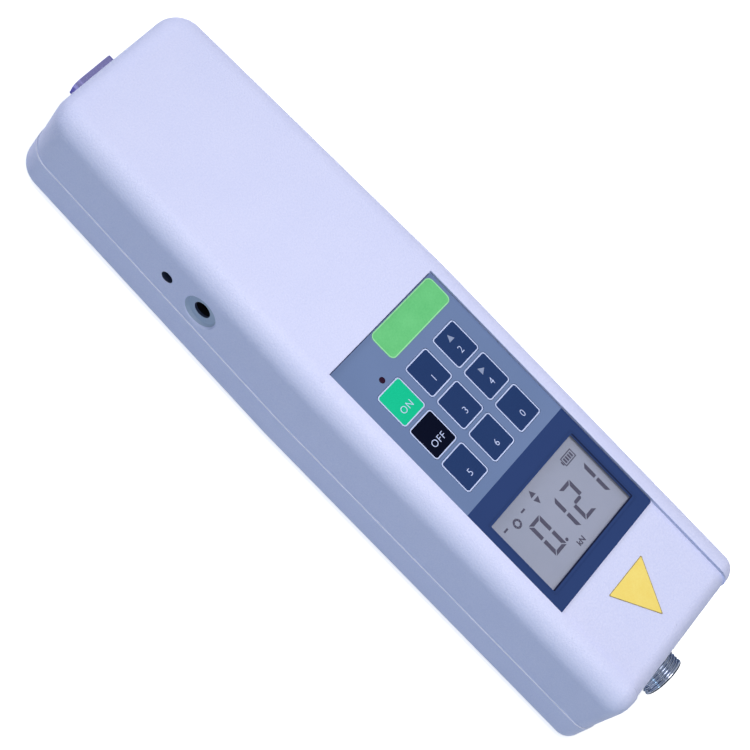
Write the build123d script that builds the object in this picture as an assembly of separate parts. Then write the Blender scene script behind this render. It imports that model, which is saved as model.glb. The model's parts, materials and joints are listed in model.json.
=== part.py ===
from build123d import *
import os
from math import cos, pi, radians, sin, tan

# Handheld digital force gauge with an external force sensor.
# Frame: the gauge lies on its back. +Z is the face with the keys, +Y is the serial end,
# -Y is the end with the sensor socket. Origin: centre of the whole gauge, at its back.

# Case
case_length = 231.4
case_width = 66.0
case_height = 36.8
rear_depth = 13.2           # the seam's height above the back
lower_length = 125.8        # straight half, from the sensor end to the shoulder
end_narrowing = 3.8         # on each side, from the shoulder to the serial end
serial_end_width = case_width - 2 * end_narrowing
wall = 2.4
side_radius = 7.0           # front cover, along its long sides
back_radius = 4.5           # rear cover, along its long sides
lower_corner = 5.0          # corners beside the sensor socket, and the edge round that end
upper_corner = 9.0          # corners beside the serial plug
seam_step = 0.4             # the front cover steps in over the seam, so the rear one shows a ledge
rail_width = 8.0            # raised rail on each side of the lower half
channel_width = case_width - 2 * rail_width
channel_depth = 1.2
lip_height = 1.5            # tongue of the rear cover that centres the front cover
lip_thickness = 1.0
lip_end_margin = 16.0       # the tongue stops this far from each end
lip_root = 0.6              # how far the tongue's root reaches inside the wall
fit_gap = 0.1               # clearance between pieces that only lie in each other

# Keypad overlay and keys, measured down from the shoulder
overlay_margin = 0.2        # bare channel on each side of the overlay
overlay_width = channel_width - 2 * overlay_margin
overlay_length = 92.8
overlay_thickness = 0.4
overlay_corner = 0.8
key_width = 10.7
key_length = 11.6
key_corner = 1.2
key_column_pitch = 13.65
key_row_pitch = 12.77
first_row_drop = 19.9
key_travel = 0.35
key_over_travel = 0.25
key_pocket_depth = 0.6
key_pocket_margin = 0.2
key_stub_radius = 2.5
key_hole_radius = 2.8
led_inset = 0.45            # the lamp stands this far inside the first column of keys
led_across = led_inset - key_column_pitch
led_drop = 11.8
led_radius = 1.5
led_hole_radius = 1.6
led_window_radius = 0.95

# Display
window_border = 3.5         # overlay on each side of the display opening
window_width = overlay_width - 2 * window_border
window_length = 26.2
window_drop = 74.9          # centre of the display below the shoulder
window_ledge = 0.5
glass_border = 2.7          # hidden glass on each side of the opening
glass_width = window_width + 2 * glass_border
glass_length = 33.0
glass_thickness = 2.6
glass_roof = 1.0            # case material above the glass
reflector_thickness = 0.3
frame_wall = 1.3
frame_shelf = 1.2
strip_width = 2.0
strip_inset = 3.0           # at each end, inside the glass
strip_length = glass_width - 2 * strip_inset
strip_margin = 0.5

# Boards
board_thickness = 1.6
board_boss_length = 6.0
board_boss_radius = 3.0
board_corner = 1.0
board_side_gap = 3.6
board_width = case_width - 2 * (wall + board_side_gap)
board_top_drop = 8.4
board_screw_inset = 2.8
board_screw_across = board_width / 2 - board_screw_inset
frame_half_length = glass_length / 2 + fit_gap + frame_wall
screw_above_frame = 1.5     # between the display frame and the bosses above and below it
screw_below_frame = 0.9
board_screw_drops = (13.0, window_drop - frame_half_length - screw_above_frame - board_boss_radius,
                     window_drop + frame_half_length + screw_below_frame + board_boss_radius)
board_bottom_margin = 3.8   # board below its lowest screws
board_bottom_drop = board_screw_drops[-1] + board_bottom_margin
power_boss_length = 3.8
power_board_side_gap = 1.3
power_board_width = serial_end_width - 2 * (wall + power_board_side_gap)
power_board_start = 8.0     # above the shoulder
power_board_from_end = 19.2
power_board_end = case_length - lower_length - power_board_from_end
power_screw_inset = 4.0
power_screw_across = power_board_width / 2 - power_screw_inset
power_screw_rises = (power_board_start + power_screw_inset, power_board_end - power_screw_inset)
small_screw_radius = 1.25
small_screw_length = 4.5
small_head_radius = 2.3
small_head_height = 1.6
header_height = 4.0
header_depth = 6.0
header_side = 1.0           # connector on each side of its ribbon
sensor_header_width = 10.0
battery_header_width = 8.0
sensor_header_rise = 4.5    # above the main board's lower edge
battery_header_drop = 17.5  # below the shoulder
link_header_inset = 6.0     # from the power board's lower edge
serial_header_inset = 10.0  # from the power board's upper edge
processor_side = 12.0
processor_height = 1.4
processor_drop = 34.0
amplifier_width = 10.0
amplifier_depth = 6.0
amplifier_height = 1.6
amplifiers_at = ((-15.0, 62.0), (14.0, 80.0))   # across, and below the shoulder
charger_width = 10.0
charger_depth = 6.0
charger_across = 7.0
charger_past_jack = 3.7
capacitor_radius = 3.15
capacitor_height = 7.0
capacitors_across = (4.0, 14.0)
capacitor_past_charger = -10.0

# Tact switches
switch_side = 6.0
switch_height = 3.5
stem_radius = 1.75
stem_height = 5.0           # top of the stem above the board
stem_engagement = 1.3       # length of the stem inside its switch
stem_room = key_travel + key_over_travel   # free depth under the stem
running_gap = 0.05

# Power socket and reset switch, in the side wall of the upper half
side_hole_height = 21.3
jack_rise = 37.3
jack_width = 9.0
jack_length = 14.0
jack_below_axis = 4.5
jack_hole_radius = 2.8
jack_bore_radius = 2.85
jack_bore_depth = 9.5
jack_pin_radius = 1.05
jack_pin_length = 8.0
dish_radius = 5.8
dish_floor_radius = 4.9
dish_depth = 1.3
dish_rim = 0.45             # rounding of the dish's rim
dish_foot = 0.35            # rounding where its wall meets its floor
reset_rise = 50.7
reset_hole_radius = 2.0
reset_body_width = 6.4
reset_body_depth = 3.5
reset_stem_radius = 1.6
reset_set_back = 1.2        # the stem's tip behind the wall
reset_reach = 4.2
reset_below_axis = 3.1

# Serial plug in the upper end
serial_height = 18.0
serial_out = 3.0
serial_width = 16.9
serial_tall = 8.4
serial_slant = 10.0
serial_corner = 2.2
serial_skin = 0.5
serial_flange_width = 30.8
serial_flange_tall = 12.5
serial_flange = 0.8
serial_body_width = 19.0
serial_body_tall = 10.6
serial_body_depth = 4.5
serial_cavity = 3.2         # insulator's face below the shell's edge
serial_pitch = 2.77
serial_row_gap = 2.84
serial_pin_radius = 0.5
serial_pin_set_back = 0.6
serial_cup_radius = 0.8
serial_cup_length = 2.0
serial_screw_across = 12.5
serial_screw_radius = 1.5
serial_head_radius = 2.6    # flat countersunk heads, flush with the wall
serial_head_height = 1.3
serial_head_sink = 0.05
serial_nut_across = 5.5
serial_nut_thickness = 2.2

# Sensor socket in the lower end, held where the two covers meet
sensor_out = 8.0
sensor_radius = 7.0         # thread, outer size
sensor_neck_radius = 6.6    # where the wall holds it
sensor_relief = 0.4         # neck between the wall and the thread
sensor_bore_radius = 5.2
sensor_flange_radius = 9.0
sensor_flange = 2.0
sensor_sleeve_radius = 6.5
sensor_sleeve = 9.0
sensor_cup_depth = 5.0
sensor_pins = 5
sensor_pin_circle = 3.2
sensor_pin_radius = 0.75
sensor_pin_length = 3.8
sensor_cup_length = 2.5
sensor_chamfer = 0.6
cradle_thickness = 2.0
cradle_width = 24.0

# Battery pack under the main board
cell_radius = 7.25
cell_length = 49.2
cell_nub = 1.0
cell_nub_radius = 2.75
cell_count = 6
cell_gap = 0.05
wrap_thickness = 0.3
pad_thickness = 1.0
pad_corner = 2.0
pack_drop = 55.5
rib_thickness = 1.5
rib_height = 9.0
rib_width = 22.0

# Leads
sensor_lead_radius = 1.5
battery_lead_radius = 1.3
battery_lead_across = 14.0
lead_bend = 2.6
ribbon_thickness = 0.9
link_width = 14.0
link_across = -8.0
serial_ribbon_width = 12.0
sensor_lead_run = 5.4       # straight run before each bend
battery_lead_run = 6.4
link_first_run = 9.0
link_last_run = 7.0
serial_ribbon_run = 5.5

# Screws that hold the covers together
case_screw_radius = 1.5
case_head_radius = 2.75
case_head_height = 2.3
case_screw_bite = 8.0
counterbore_radius = 3.2
counterbore_depth = 3.0
front_boss_radius = 3.8
rear_boss_radius = 4.2
lower_screw_inset = 9.0     # from the case's side
lower_screw_across = case_width / 2 - lower_screw_inset
lower_screw_from_end = 12.8
middle_screw_inset = 7.0
middle_screw_across = case_width / 2 - middle_screw_inset
middle_screw_drop = 4.0
upper_screw_inset = 7.2
upper_screw_across = serial_end_width / 2 - upper_screw_inset
upper_screw_from_end = 12.2

# Stickers
sticker_thickness = 0.12
name_sticker_width = 29.6
name_sticker_length = 9.6
name_sticker_corner = 1.9
name_sticker_margin = 1.2   # to the overlay's right edge
name_sticker_across = (overlay_width - name_sticker_width) / 2 - name_sticker_margin
name_sticker_drop = 5.4
marker_side = 18.6
marker_corner = 0.4
marker_drop = 100.4

# Places that follow from the sizes
y_low = -(case_length + serial_out - sensor_out) / 2
y_high = y_low + case_length
shoulder = y_low + lower_length
channel_floor = case_height - channel_depth
ceiling = channel_floor - wall
board_top = ceiling - board_boss_length
board_under = board_top - board_thickness
power_top = ceiling - power_boss_length
power_under = power_top - board_thickness
window_y = shoulder - window_drop
glass_top = channel_floor - glass_roof
glass_under = glass_top - glass_thickness
shelf_top = glass_under - reflector_thickness
stem_top = board_top + stem_height
inner_high = y_high - wall
inner_low = y_low + wall
serial_flange_back = inner_high - serial_flange
serial_body_back = serial_flange_back - serial_body_depth
sensor_tip = y_low - sensor_out
sensor_flange_back = inner_low + sensor_flange
sensor_back = sensor_flange_back + sensor_sleeve
jack_y = shoulder + jack_rise
reset_y = shoulder + reset_rise
cell_pitch = 2 * cell_radius + cell_gap
pack_inner_length = cell_count * cell_pitch + cell_gap
pack_length = pack_inner_length + 2 * wrap_thickness
pack_y = shoulder - pack_drop
cell_z = wall + pad_thickness + wrap_thickness + cell_gap + cell_radius
sensor_header_y = shoulder - board_bottom_drop + sensor_header_rise
battery_header_y = shoulder - battery_header_drop
link_header_y = shoulder + power_board_start + link_header_inset
serial_header_y = shoulder + power_board_end - serial_header_inset
lead_z = board_under - header_height / 2
link_z = power_under - header_height / 2
case_screws_at = [(sign * across, y) for sign in (-1, 1) for across, y in (
    (lower_screw_across, y_low + lower_screw_from_end),
    (middle_screw_across, shoulder - middle_screw_drop),
    (upper_screw_across, y_high - upper_screw_from_end))]
main_screws_at = [(sign * board_screw_across, shoulder - drop)
                  for sign in (-1, 1) for drop in board_screw_drops]
power_screws_at = [(sign * power_screw_across, shoulder + rise)
                   for sign in (-1, 1) for rise in power_screw_rises]
key_grid = {
    "on": (-1, 0), "set": (0, 0), "send": (1, 0),
    "off": (-1, 1), "unit": (0, 1), "store": (1, 1),
    "data": (-1, 2), "peak": (0, 2), "zero": (1, 2)}


def key_place(column, row):
    """Centre of a key, seen from above."""
    return column * key_column_pitch, shoulder - first_row_drop - row * key_row_pitch


def half_width(y):
    """Half of the case's outer width at y."""
    narrowing = (case_width - serial_end_width) / 2
    return case_width / 2 - narrowing * max(y - shoulder, 0) / (y_high - shoulder)


def box(x_range, y_range, z_range):
    """A box between two values on each axis."""
    low = [min(pair) for pair in (x_range, y_range, z_range)]
    size = [abs(pair[1] - pair[0]) for pair in (x_range, y_range, z_range)]
    centre = [start + length / 2 for start, length in zip(low, size)]
    return Pos(*centre) * Box(*size)


def rod(radius, start, end):
    """A cylinder between two points on a line along X, Y or Z."""
    start, end = Vector(*start), Vector(*end)
    span = end - start
    plane = Plane(origin=start, z_dir=span)
    return extrude(plane * Circle(radius), span.length)


def slab(width, length, corner, x, y, z_low, z_high):
    """A flat plate with rounded corners."""
    return extrude(Pos(x, y, z_low) * RectangleRounded(width, length, corner), z_high - z_low)


def case_outline(inset):
    """Corners of the case's outline: straight below the shoulder, narrowing above it."""
    right = [(half_width(y) - inset, y) for y in (y_low + inset, shoulder, y_high - inset)]
    return right + [(-x, y) for x, y in reversed(right)]


def case_block(inset, z_low, z_high, radius, rounded_up, seam=0.0):
    """A solid with the case's outline, rounded along one face and flat at the seam.

    A corner that is blunter than the edge is rounded before it, so that the edge runs round it.
    A sharper one is rounded after it, together with the edge of its end. At the seam the solid
    may step in.
    """
    block = extrude(Pos(0, 0, z_low) * make_face(Polyline(*case_outline(inset), close=True)),
                    z_high - z_low)
    open_z, closed_z = (z_low, z_high) if rounded_up else (z_high, z_low)
    ends = ((y_low + inset, lower_corner - inset), (y_high - inset, upper_corner - inset))
    sharp = [(end, corner) for end, corner in ends if corner <= radius]
    for end, corner in ends:
        if (end, corner) not in sharp:
            upright = [edge for edge in block.edges().filter_by(Axis.Z) if on_end(edge, end)]
            block = fillet(upright, corner)
    block = fillet([edge for edge in block.edges() if abs(edge.center().Z - closed_z) < 1e-3
                    and not any(on_end(edge, end) for end, corner in sharp)], radius)
    for end, corner in sharp:
        block = fillet([edge for edge in block.edges()
                        if on_end(edge, end) and abs(edge.center().Z - open_z) > 1e-3], corner)
    if seam:
        band = box((-case_width, case_width), (y_low - 1, y_high + 1),
                   (open_z, open_z + seam if rounded_up else open_z - seam))
        block = block - (band - case_block(seam, z_low, z_high, radius - seam, rounded_up))
    return block


def on_end(edge, y):
    """Whether an edge lies in the plane of one of the case's ends."""
    return abs(edge.center().Y - y) < 1e-3


def lip(outer, inner, z_low, z_high, margin):
    """The tongue along the two long sides of the seam, or the groove that takes it."""
    top = z_high + side_radius
    ring = (case_block(outer, z_low, top, side_radius - outer, True)
            - case_block(inner, z_low - 1, top + 1, side_radius - outer, True))
    return ring & box((-case_width, case_width), (y_low + margin, y_high - margin), (z_low, z_high))


def serial_outline(shrink, y):
    """The plug's D shape, with its wide side up, in a plane across the case."""
    half, tall = serial_width / 2 - shrink, serial_tall / 2 - shrink
    lean = 2 * tall * tan(radians(serial_slant))
    shape = make_face(Polyline((-half, tall), (half, tall), (half - lean, -tall), (lean - half, -tall),
                               close=True))
    shape = fillet(shape.vertices(), serial_corner - shrink)
    return Plane(origin=(0, y, serial_height), x_dir=(1, 0, 0), z_dir=(0, -1, 0)) * shape


def make_front_cover():
    """The deeper cover: rails and channel, key holes, display opening, bosses and side holes."""
    cover = side_dish(case_block(0, rear_depth, case_height, side_radius, True, seam_step))
    cavity = case_block(wall, rear_depth - 1, ceiling, side_radius - wall, True)
    channel_block = case_block(0, rear_depth, channel_floor, side_radius, True)
    channel = box((-channel_width / 2, channel_width / 2), (y_low, shoulder),
                  (channel_floor - lower_corner, case_height + 1)) - channel_block
    cover = cover - cavity - channel
    bosses = [rod(board_boss_radius, (x, y, board_top), (x, y, ceiling + wall / 2))
              for x, y in main_screws_at]
    bosses += [rod(board_boss_radius, (x, y, power_top), (x, y, ceiling + wall / 2))
               for x, y in power_screws_at]
    bosses += [rod(front_boss_radius, (x, y, rear_depth), (x, y, ceiling + wall / 2))
               for x, y in case_screws_at]
    cradle_y = sensor_flange_back + fit_gap
    bosses.append(box((-cradle_width / 2, cradle_width / 2), (cradle_y, cradle_y + cradle_thickness),
                      (rear_depth, ceiling + wall / 2)))
    cover = cover + bosses
    cuts = []
    for column, row in key_grid.values():
        x, y = key_place(column, row)
        margin = 2 * key_pocket_margin
        cuts.append(slab(key_width + margin, key_length + margin, key_corner, x, y,
                         channel_floor - key_pocket_depth, channel_floor + 1))
        cuts.append(rod(key_hole_radius, (x, y, ceiling - 1), (x, y, channel_floor)))
    cuts.append(rod(led_hole_radius, (led_across, shoulder - led_drop, ceiling - 1),
                    (led_across, shoulder - led_drop, channel_floor + 1)))
    cuts.append(slab(window_width, window_length, overlay_corner, 0, window_y, ceiling, channel_floor + 1))
    glass_half_width, glass_half_length = glass_width / 2 + fit_gap, glass_length / 2 + fit_gap
    cuts.append(box((-glass_half_width, glass_half_width),
                    (window_y - glass_half_length, window_y + glass_half_length), (ceiling - 1, glass_top)))
    for x, y in main_screws_at:
        cuts.append(rod(small_screw_radius + running_gap, (x, y, board_top - 1),
                        (x, y, board_top + small_screw_length)))
    for x, y in power_screws_at:
        cuts.append(rod(small_screw_radius + running_gap, (x, y, power_top - 1),
                        (x, y, power_top + small_screw_length)))
    for x, y in case_screws_at:
        cuts.append(rod(case_screw_radius + running_gap, (x, y, rear_depth - 1),
                        (x, y, rear_depth + case_screw_bite + 1)))
    jack_x = -half_width(jack_y)
    cuts.append(rod(jack_hole_radius, (jack_x - 1, jack_y, side_hole_height),
                    (jack_x + wall + 1, jack_y, side_hole_height)))
    reset_x = -half_width(reset_y)
    cuts.append(rod(reset_hole_radius, (reset_x - 1, reset_y, side_hole_height),
                    (reset_x + wall + 1, reset_y, side_hole_height)))
    cuts += [serial_hole(), *serial_screw_holes(), *sensor_holes()]
    cuts.append(lip(wall - lip_thickness - fit_gap - fit_gap, wall + 1, rear_depth - 1,
                    rear_depth + lip_height + fit_gap, lip_end_margin - fit_gap))
    return cover - cuts


def side_dish(block):
    """The block with the round dish for the power socket sunk square into its leaning side."""
    lean = (case_width - serial_end_width) / 2
    side = Plane(origin=(-half_width(jack_y), jack_y, side_hole_height), z_dir=(shoulder - y_high, lean, 0))
    flare = (dish_radius - dish_floor_radius) * fit_gap / dish_depth
    dish = Cone(dish_floor_radius, dish_radius + flare, dish_depth + fit_gap)
    block = block - side * Pos(0, 0, (fit_gap - dish_depth) / 2) * dish
    for radius, rounding in ((dish_floor_radius, dish_foot), (dish_radius, dish_rim)):
        block = fillet([edge for edge in block.edges().filter_by(GeomType.CIRCLE)
                        if abs(edge.radius - radius) < 1e-3], rounding)
    return block


def serial_hole():
    """The D-shaped hole for the serial plug."""
    return extrude(serial_outline(-fit_gap, y_high + 1), wall + 2)


def serial_screw_holes():
    """Two countersunk holes beside the serial plug."""
    shanks = [rod(serial_screw_radius + fit_gap, (sign * serial_screw_across, inner_high - 1, serial_height),
                  (sign * serial_screw_across, y_high + 1, serial_height)) for sign in (-1, 1)]
    return shanks + [countersink(sign, fit_gap) for sign in (-1, 1)]


def countersink(side, gap):
    """The cone of a serial screw's head, or of the seat that takes it with a gap all round."""
    cone = Cone(serial_screw_radius + gap, serial_head_radius + gap, serial_head_height)
    middle = y_high - serial_head_height / 2 - (0 if gap else serial_head_sink)
    return Pos(side * serial_screw_across, middle, serial_height) * Rot(-90, 0, 0) * cone


def sensor_holes():
    """The round hole for the sensor socket, and the bore of its cradle."""
    return [rod(sensor_neck_radius + fit_gap, (0, y_low - 1, rear_depth), (0, inner_low + 1, rear_depth)),
            rod(sensor_sleeve_radius + fit_gap, (0, sensor_flange_back, rear_depth),
                (0, sensor_back, rear_depth))]


def make_rear_cover():
    """The shallow cover: posts for the case screws, ribs for the battery, the seam's tongue."""
    cover = case_block(0, 0, rear_depth, back_radius, False)
    cavity = case_block(wall, wall, rear_depth + 1, back_radius - wall, False)
    cover = cover - cavity
    adds = [rod(rear_boss_radius, (x, y, wall / 2), (x, y, rear_depth)) for x, y in case_screws_at]
    cradle_y = sensor_flange_back + fit_gap
    adds.append(box((-cradle_width / 2, cradle_width / 2), (cradle_y, cradle_y + cradle_thickness),
                    (wall / 2, rear_depth)))
    for side in (-1, 1):
        near = pack_y + side * (pack_length / 2 + fit_gap)
        adds.append(box((-rib_width / 2, rib_width / 2), (near, near + side * rib_thickness),
                        (wall / 2, wall + rib_height)))
    adds.append(lip(wall - lip_thickness - fit_gap, wall - fit_gap, rear_depth - wall,
                    rear_depth + lip_height, lip_end_margin)
                + lip(wall - lip_thickness - fit_gap, wall + lip_root, rear_depth - wall, rear_depth,
                      lip_end_margin))
    cover = cover + adds
    cuts = sensor_holes()
    for x, y in case_screws_at:
        cuts.append(rod(case_screw_radius + fit_gap, (x, y, -1), (x, y, rear_depth + 1)))
        cuts.append(rod(counterbore_radius, (x, y, -1), (x, y, counterbore_depth)))
    return cover - cuts


def make_overlay():
    """The printed film over the keys and round the display."""
    overlay = slab(overlay_width, overlay_length, overlay_corner, 0, shoulder - fit_gap - overlay_length / 2,
                   channel_floor, channel_floor + overlay_thickness)
    cuts = []
    for column, row in key_grid.values():
        x, y = key_place(column, row)
        cuts.append(slab(key_width + 2 * fit_gap, key_length + 2 * fit_gap, key_corner + fit_gap, x, y,
                         channel_floor - 1, case_height))
    cuts.append(slab(window_width + 2 * window_ledge, window_length + 2 * window_ledge, overlay_corner,
                     0, window_y, channel_floor - 1, case_height))
    cuts.append(rod(led_window_radius + running_gap, (led_across, shoulder - led_drop, channel_floor - 1),
                    (led_across, shoulder - led_drop, case_height)))
    return overlay - cuts


def make_key(column, row):
    """A key of the film with the stub that reaches down to its switch."""
    x, y = key_place(column, row)
    pad = slab(key_width, key_length, key_corner, x, y, channel_floor, channel_floor + overlay_thickness)
    return pad + rod(key_stub_radius, (x, y, stem_top), (x, y, channel_floor + overlay_thickness / 2))


def make_stem(column, row):
    """The moving stem of a tact switch."""
    x, y = key_place(column, row)
    return rod(stem_radius, (x, y, board_top + switch_height - stem_engagement), (x, y, stem_top))


def make_switch(column, row):
    """The fixed body of a tact switch."""
    x, y = key_place(column, row)
    half = switch_side / 2
    top = board_top + switch_height
    body = box((x - half, x + half), (y - half, y + half), (board_top, top))
    return body - rod(stem_radius + running_gap, (x, y, top - stem_engagement - stem_room), (x, y, top + 1))


def make_lcd_frame():
    """The frame that holds the glass over the board, with a shelf for the reflector."""
    gap = 2 * fit_gap
    outer = slab(glass_width + gap + 2 * frame_wall, glass_length + gap + 2 * frame_wall, overlay_corner,
                 0, window_y, board_top, ceiling)
    inner = slab(glass_width + gap, glass_length + gap, overlay_corner / 2, 0, window_y,
                 board_top - 1, ceiling + 1)
    shelf_length = glass_length - 2 * (strip_width + 2 * strip_margin)
    shelf = box((-glass_width / 2 - frame_wall / 2, glass_width / 2 + frame_wall / 2),
                (window_y - shelf_length / 2, window_y + shelf_length / 2),
                (shelf_top - frame_shelf, shelf_top))
    return (outer - inner) + shelf


def make_reflector():
    """The bright sheet behind the glass."""
    shelf_length = glass_length - 2 * (strip_width + 2 * strip_margin)
    return box((-glass_width / 2, glass_width / 2),
               (window_y - shelf_length / 2, window_y + shelf_length / 2), (shelf_top, glass_under))


def make_strips():
    """The two rubber strips that carry the display's contacts."""
    offset = glass_length / 2 - strip_margin - strip_width / 2
    return [box((-strip_length / 2, strip_length / 2),
                (window_y + side * offset - strip_width / 2, window_y + side * offset + strip_width / 2),
                (board_top, glass_under)) for side in (-1, 1)]


def make_board(width, y_range, z_range, holes):
    """A circuit board with its screw holes."""
    board = slab(width, y_range[1] - y_range[0], board_corner, 0, sum(y_range) / 2, *z_range)
    return board - [rod(small_screw_radius + fit_gap, (x, y, z_range[0] - 1), (x, y, z_range[1] + 1))
                    for x, y in holes]


def cross_recess(radius, z, up):
    """A cross slot cut into a screw's head from its outer face."""
    reach, width, depth = radius * 0.62, radius * 0.22, radius * 0.45
    zs = (z, z - up * depth)
    return [box((-reach, reach), (-width, width), zs), box((-width, width), (-reach, reach), zs)]


def make_screw(x, y, seat, head_radius, head_height, radius, length):
    """A cross-head screw driven upwards, its head under the seat."""
    screw = rod(head_radius, (0, 0, -head_height), (0, 0, 0)) + rod(radius, (0, 0, 0), (0, 0, length))
    screw = screw - cross_recess(head_radius, -head_height, -1)
    return Pos(x, y, seat) * screw


def make_serial_screw(side):
    """A flat-head screw beside the serial plug, its head flush with the wall."""
    face = y_high - serial_head_sink
    x = side * serial_screw_across
    tip = inner_high - serial_flange - serial_nut_thickness
    screw = countersink(side, 0) + rod(serial_screw_radius, (x, tip, serial_height),
                                       (x, face - serial_head_height, serial_height))
    return screw - [Pos(x, 0, serial_height) * Rot(-90, 0, 0) * slot
                    for slot in cross_recess(serial_head_radius, face, 1)]


def make_serial_nut(side):
    """The hexagon nut behind the serial plug's flange."""
    plane = Plane(origin=(side * serial_screw_across, serial_flange_back, serial_height),
                  x_dir=(1, 0, 0), z_dir=(0, -1, 0))
    hexagon = RegularPolygon(serial_nut_across / 2, 6, major_radius=False, rotation=30)
    return extrude(plane * (hexagon - Circle(serial_screw_radius + running_gap)), serial_nut_thickness)


def make_serial_shell():
    """The pressed metal shell of the serial plug with its flange inside the wall."""
    depth = serial_out + wall + serial_flange
    shell = extrude(serial_outline(0, y_high + serial_out), depth)
    flange = box((-serial_flange_width / 2, serial_flange_width / 2), (serial_flange_back, inner_high),
                 (serial_height - serial_flange_tall / 2, serial_height + serial_flange_tall / 2))
    shell = shell + flange - extrude(serial_outline(serial_skin, y_high + serial_out + 1), depth + 2)
    return shell - [rod(serial_screw_radius + fit_gap, (x, inner_high + 1, serial_height),
                        (x, serial_flange_back - 1, serial_height))
                    for x in (-serial_screw_across, serial_screw_across)]


def serial_pins_at():
    """Where the nine pins stand: five above, four below."""
    above = [(serial_pitch * (i - 2), serial_height + serial_row_gap / 2) for i in range(5)]
    below = [(serial_pitch * (i - 1.5), serial_height - serial_row_gap / 2) for i in range(4)]
    return above + below


def make_serial_insulator():
    """The plastic body that carries the pins."""
    face = y_high + serial_out - serial_cavity
    body = extrude(serial_outline(serial_skin, face), face - serial_flange_back)
    back = box((-serial_body_width / 2, serial_body_width / 2), (serial_body_back, serial_flange_back),
               (serial_height - serial_body_tall / 2, serial_height + serial_body_tall / 2))
    holes = [rod(serial_pin_radius, (x, serial_body_back - 1, z), (x, face + 1, z))
             for x, z in serial_pins_at()]
    return body + back - holes


def make_serial_pins():
    """Nine pins with their solder cups."""
    tip = y_high + serial_out - serial_pin_set_back
    return [rod(serial_pin_radius, (x, serial_body_back, z), (x, tip, z))
            + rod(serial_cup_radius, (x, serial_body_back - serial_cup_length, z), (x, serial_body_back, z))
            for x, z in serial_pins_at()]


def make_sensor_shell():
    """The threaded metal shell of the sensor socket, drawn at the thread's outer size."""
    thread_end = y_low - sensor_relief
    tube = rod(sensor_radius, (0, sensor_tip, rear_depth), (0, thread_end, rear_depth))
    edge = tube.edges().filter_by(GeomType.CIRCLE).sort_by(Axis.Y)[0]
    tube = chamfer(edge, sensor_chamfer)
    neck = rod(sensor_neck_radius, (0, thread_end, rear_depth), (0, inner_low, rear_depth))
    flange = rod(sensor_flange_radius, (0, inner_low, rear_depth), (0, sensor_flange_back, rear_depth))
    sleeve = rod(sensor_sleeve_radius, (0, sensor_flange_back, rear_depth), (0, sensor_back, rear_depth))
    bore = rod(sensor_bore_radius, (0, sensor_tip - 1, rear_depth), (0, sensor_back + 1, rear_depth))
    return tube + neck + flange + sleeve - bore


def sensor_pins_at():
    """Where the sensor socket's pins stand, seen along the socket."""
    angles = [2 * pi * i / sensor_pins + pi / 2 for i in range(sensor_pins)]
    return [(sensor_pin_circle * cos(a), rear_depth + sensor_pin_circle * sin(a)) for a in angles]


def make_sensor_insulator():
    """The round insulator deep in the sensor socket."""
    face = sensor_tip + sensor_cup_depth
    body = rod(sensor_bore_radius, (0, face, rear_depth), (0, sensor_back, rear_depth))
    return body - [rod(sensor_pin_radius, (x, face - 1, z), (x, sensor_back + 1, z))
                   for x, z in sensor_pins_at()]


def make_sensor_pins():
    """The sensor socket's pins."""
    start = sensor_tip + sensor_cup_depth - sensor_pin_length
    return [rod(sensor_pin_radius, (x, start, z), (x, sensor_back + sensor_cup_length, z))
            for x, z in sensor_pins_at()]


def make_jack_body():
    """The power socket's moulded body, hung under the power board."""
    front = -half_width(jack_y) + wall + 2 * fit_gap
    body = box((front, front + jack_length), (jack_y - jack_width / 2, jack_y + jack_width / 2),
               (side_hole_height - jack_below_axis, power_under))
    bore = rod(jack_bore_radius, (front - 1, jack_y, side_hole_height),
               (front + jack_bore_depth, jack_y, side_hole_height))
    return body - bore


def make_jack_pin():
    """The centre pin of the power socket."""
    back = -half_width(jack_y) + wall + 2 * fit_gap + jack_bore_depth
    return rod(jack_pin_radius, (back - jack_pin_length, jack_y, side_hole_height),
               (back, jack_y, side_hole_height))


def reset_face():
    """Where the reset switch's body starts behind the side wall."""
    return -half_width(reset_y) + wall + reset_set_back + reset_reach - stem_engagement


def make_reset_switch():
    """The fixed body of the sideways switch behind the small hole."""
    face = reset_face()
    half = reset_body_width / 2
    body = box((face, face + reset_body_depth), (reset_y - half, reset_y + half),
               (side_hole_height - reset_below_axis, power_under))
    return body - rod(reset_stem_radius + running_gap, (face - 1, reset_y, side_hole_height),
                      (face + stem_engagement + stem_room, reset_y, side_hole_height))


def make_reset_stem():
    """The stem that a pin through the small hole pushes in."""
    face = reset_face()
    return rod(reset_stem_radius, (face + stem_engagement - reset_reach, reset_y, side_hole_height),
               (face + stem_engagement, reset_y, side_hole_height))


def make_cells():
    """Six cells side by side, every second one turned round."""
    cells = []
    for index in range(cell_count):
        y = pack_y + (index - (cell_count - 1) / 2) * cell_pitch
        turn = 1 if index % 2 else -1
        start, end = -turn * (cell_length + cell_nub) / 2, turn * (cell_length - cell_nub) / 2
        cells.append(rod(cell_radius, (start, y, cell_z), (end, y, cell_z))
                     + rod(cell_nub_radius, (end, y, cell_z), (end + turn * cell_nub, y, cell_z)))
    return cells


def make_wrap():
    """The shrink sleeve round the cells, open at both sides of the pack."""
    length = cell_length + cell_nub + 2 * wrap_thickness
    plane = Plane(origin=(-length / 2, pack_y, cell_z), x_dir=(0, 1, 0), z_dir=(1, 0, 0))
    height = 2 * (cell_radius + cell_gap)
    outer = RectangleRounded(pack_length, height + 2 * wrap_thickness, cell_radius)
    inner = RectangleRounded(pack_inner_length, height, cell_radius - wrap_thickness / 2)
    return extrude(plane * (outer - inner), length)


def make_pad():
    """The foam pad under the battery pack."""
    return slab(cell_length, pack_length - 2 * cell_radius, pad_corner, 0, pack_y, wall, wall + pad_thickness)


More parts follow.
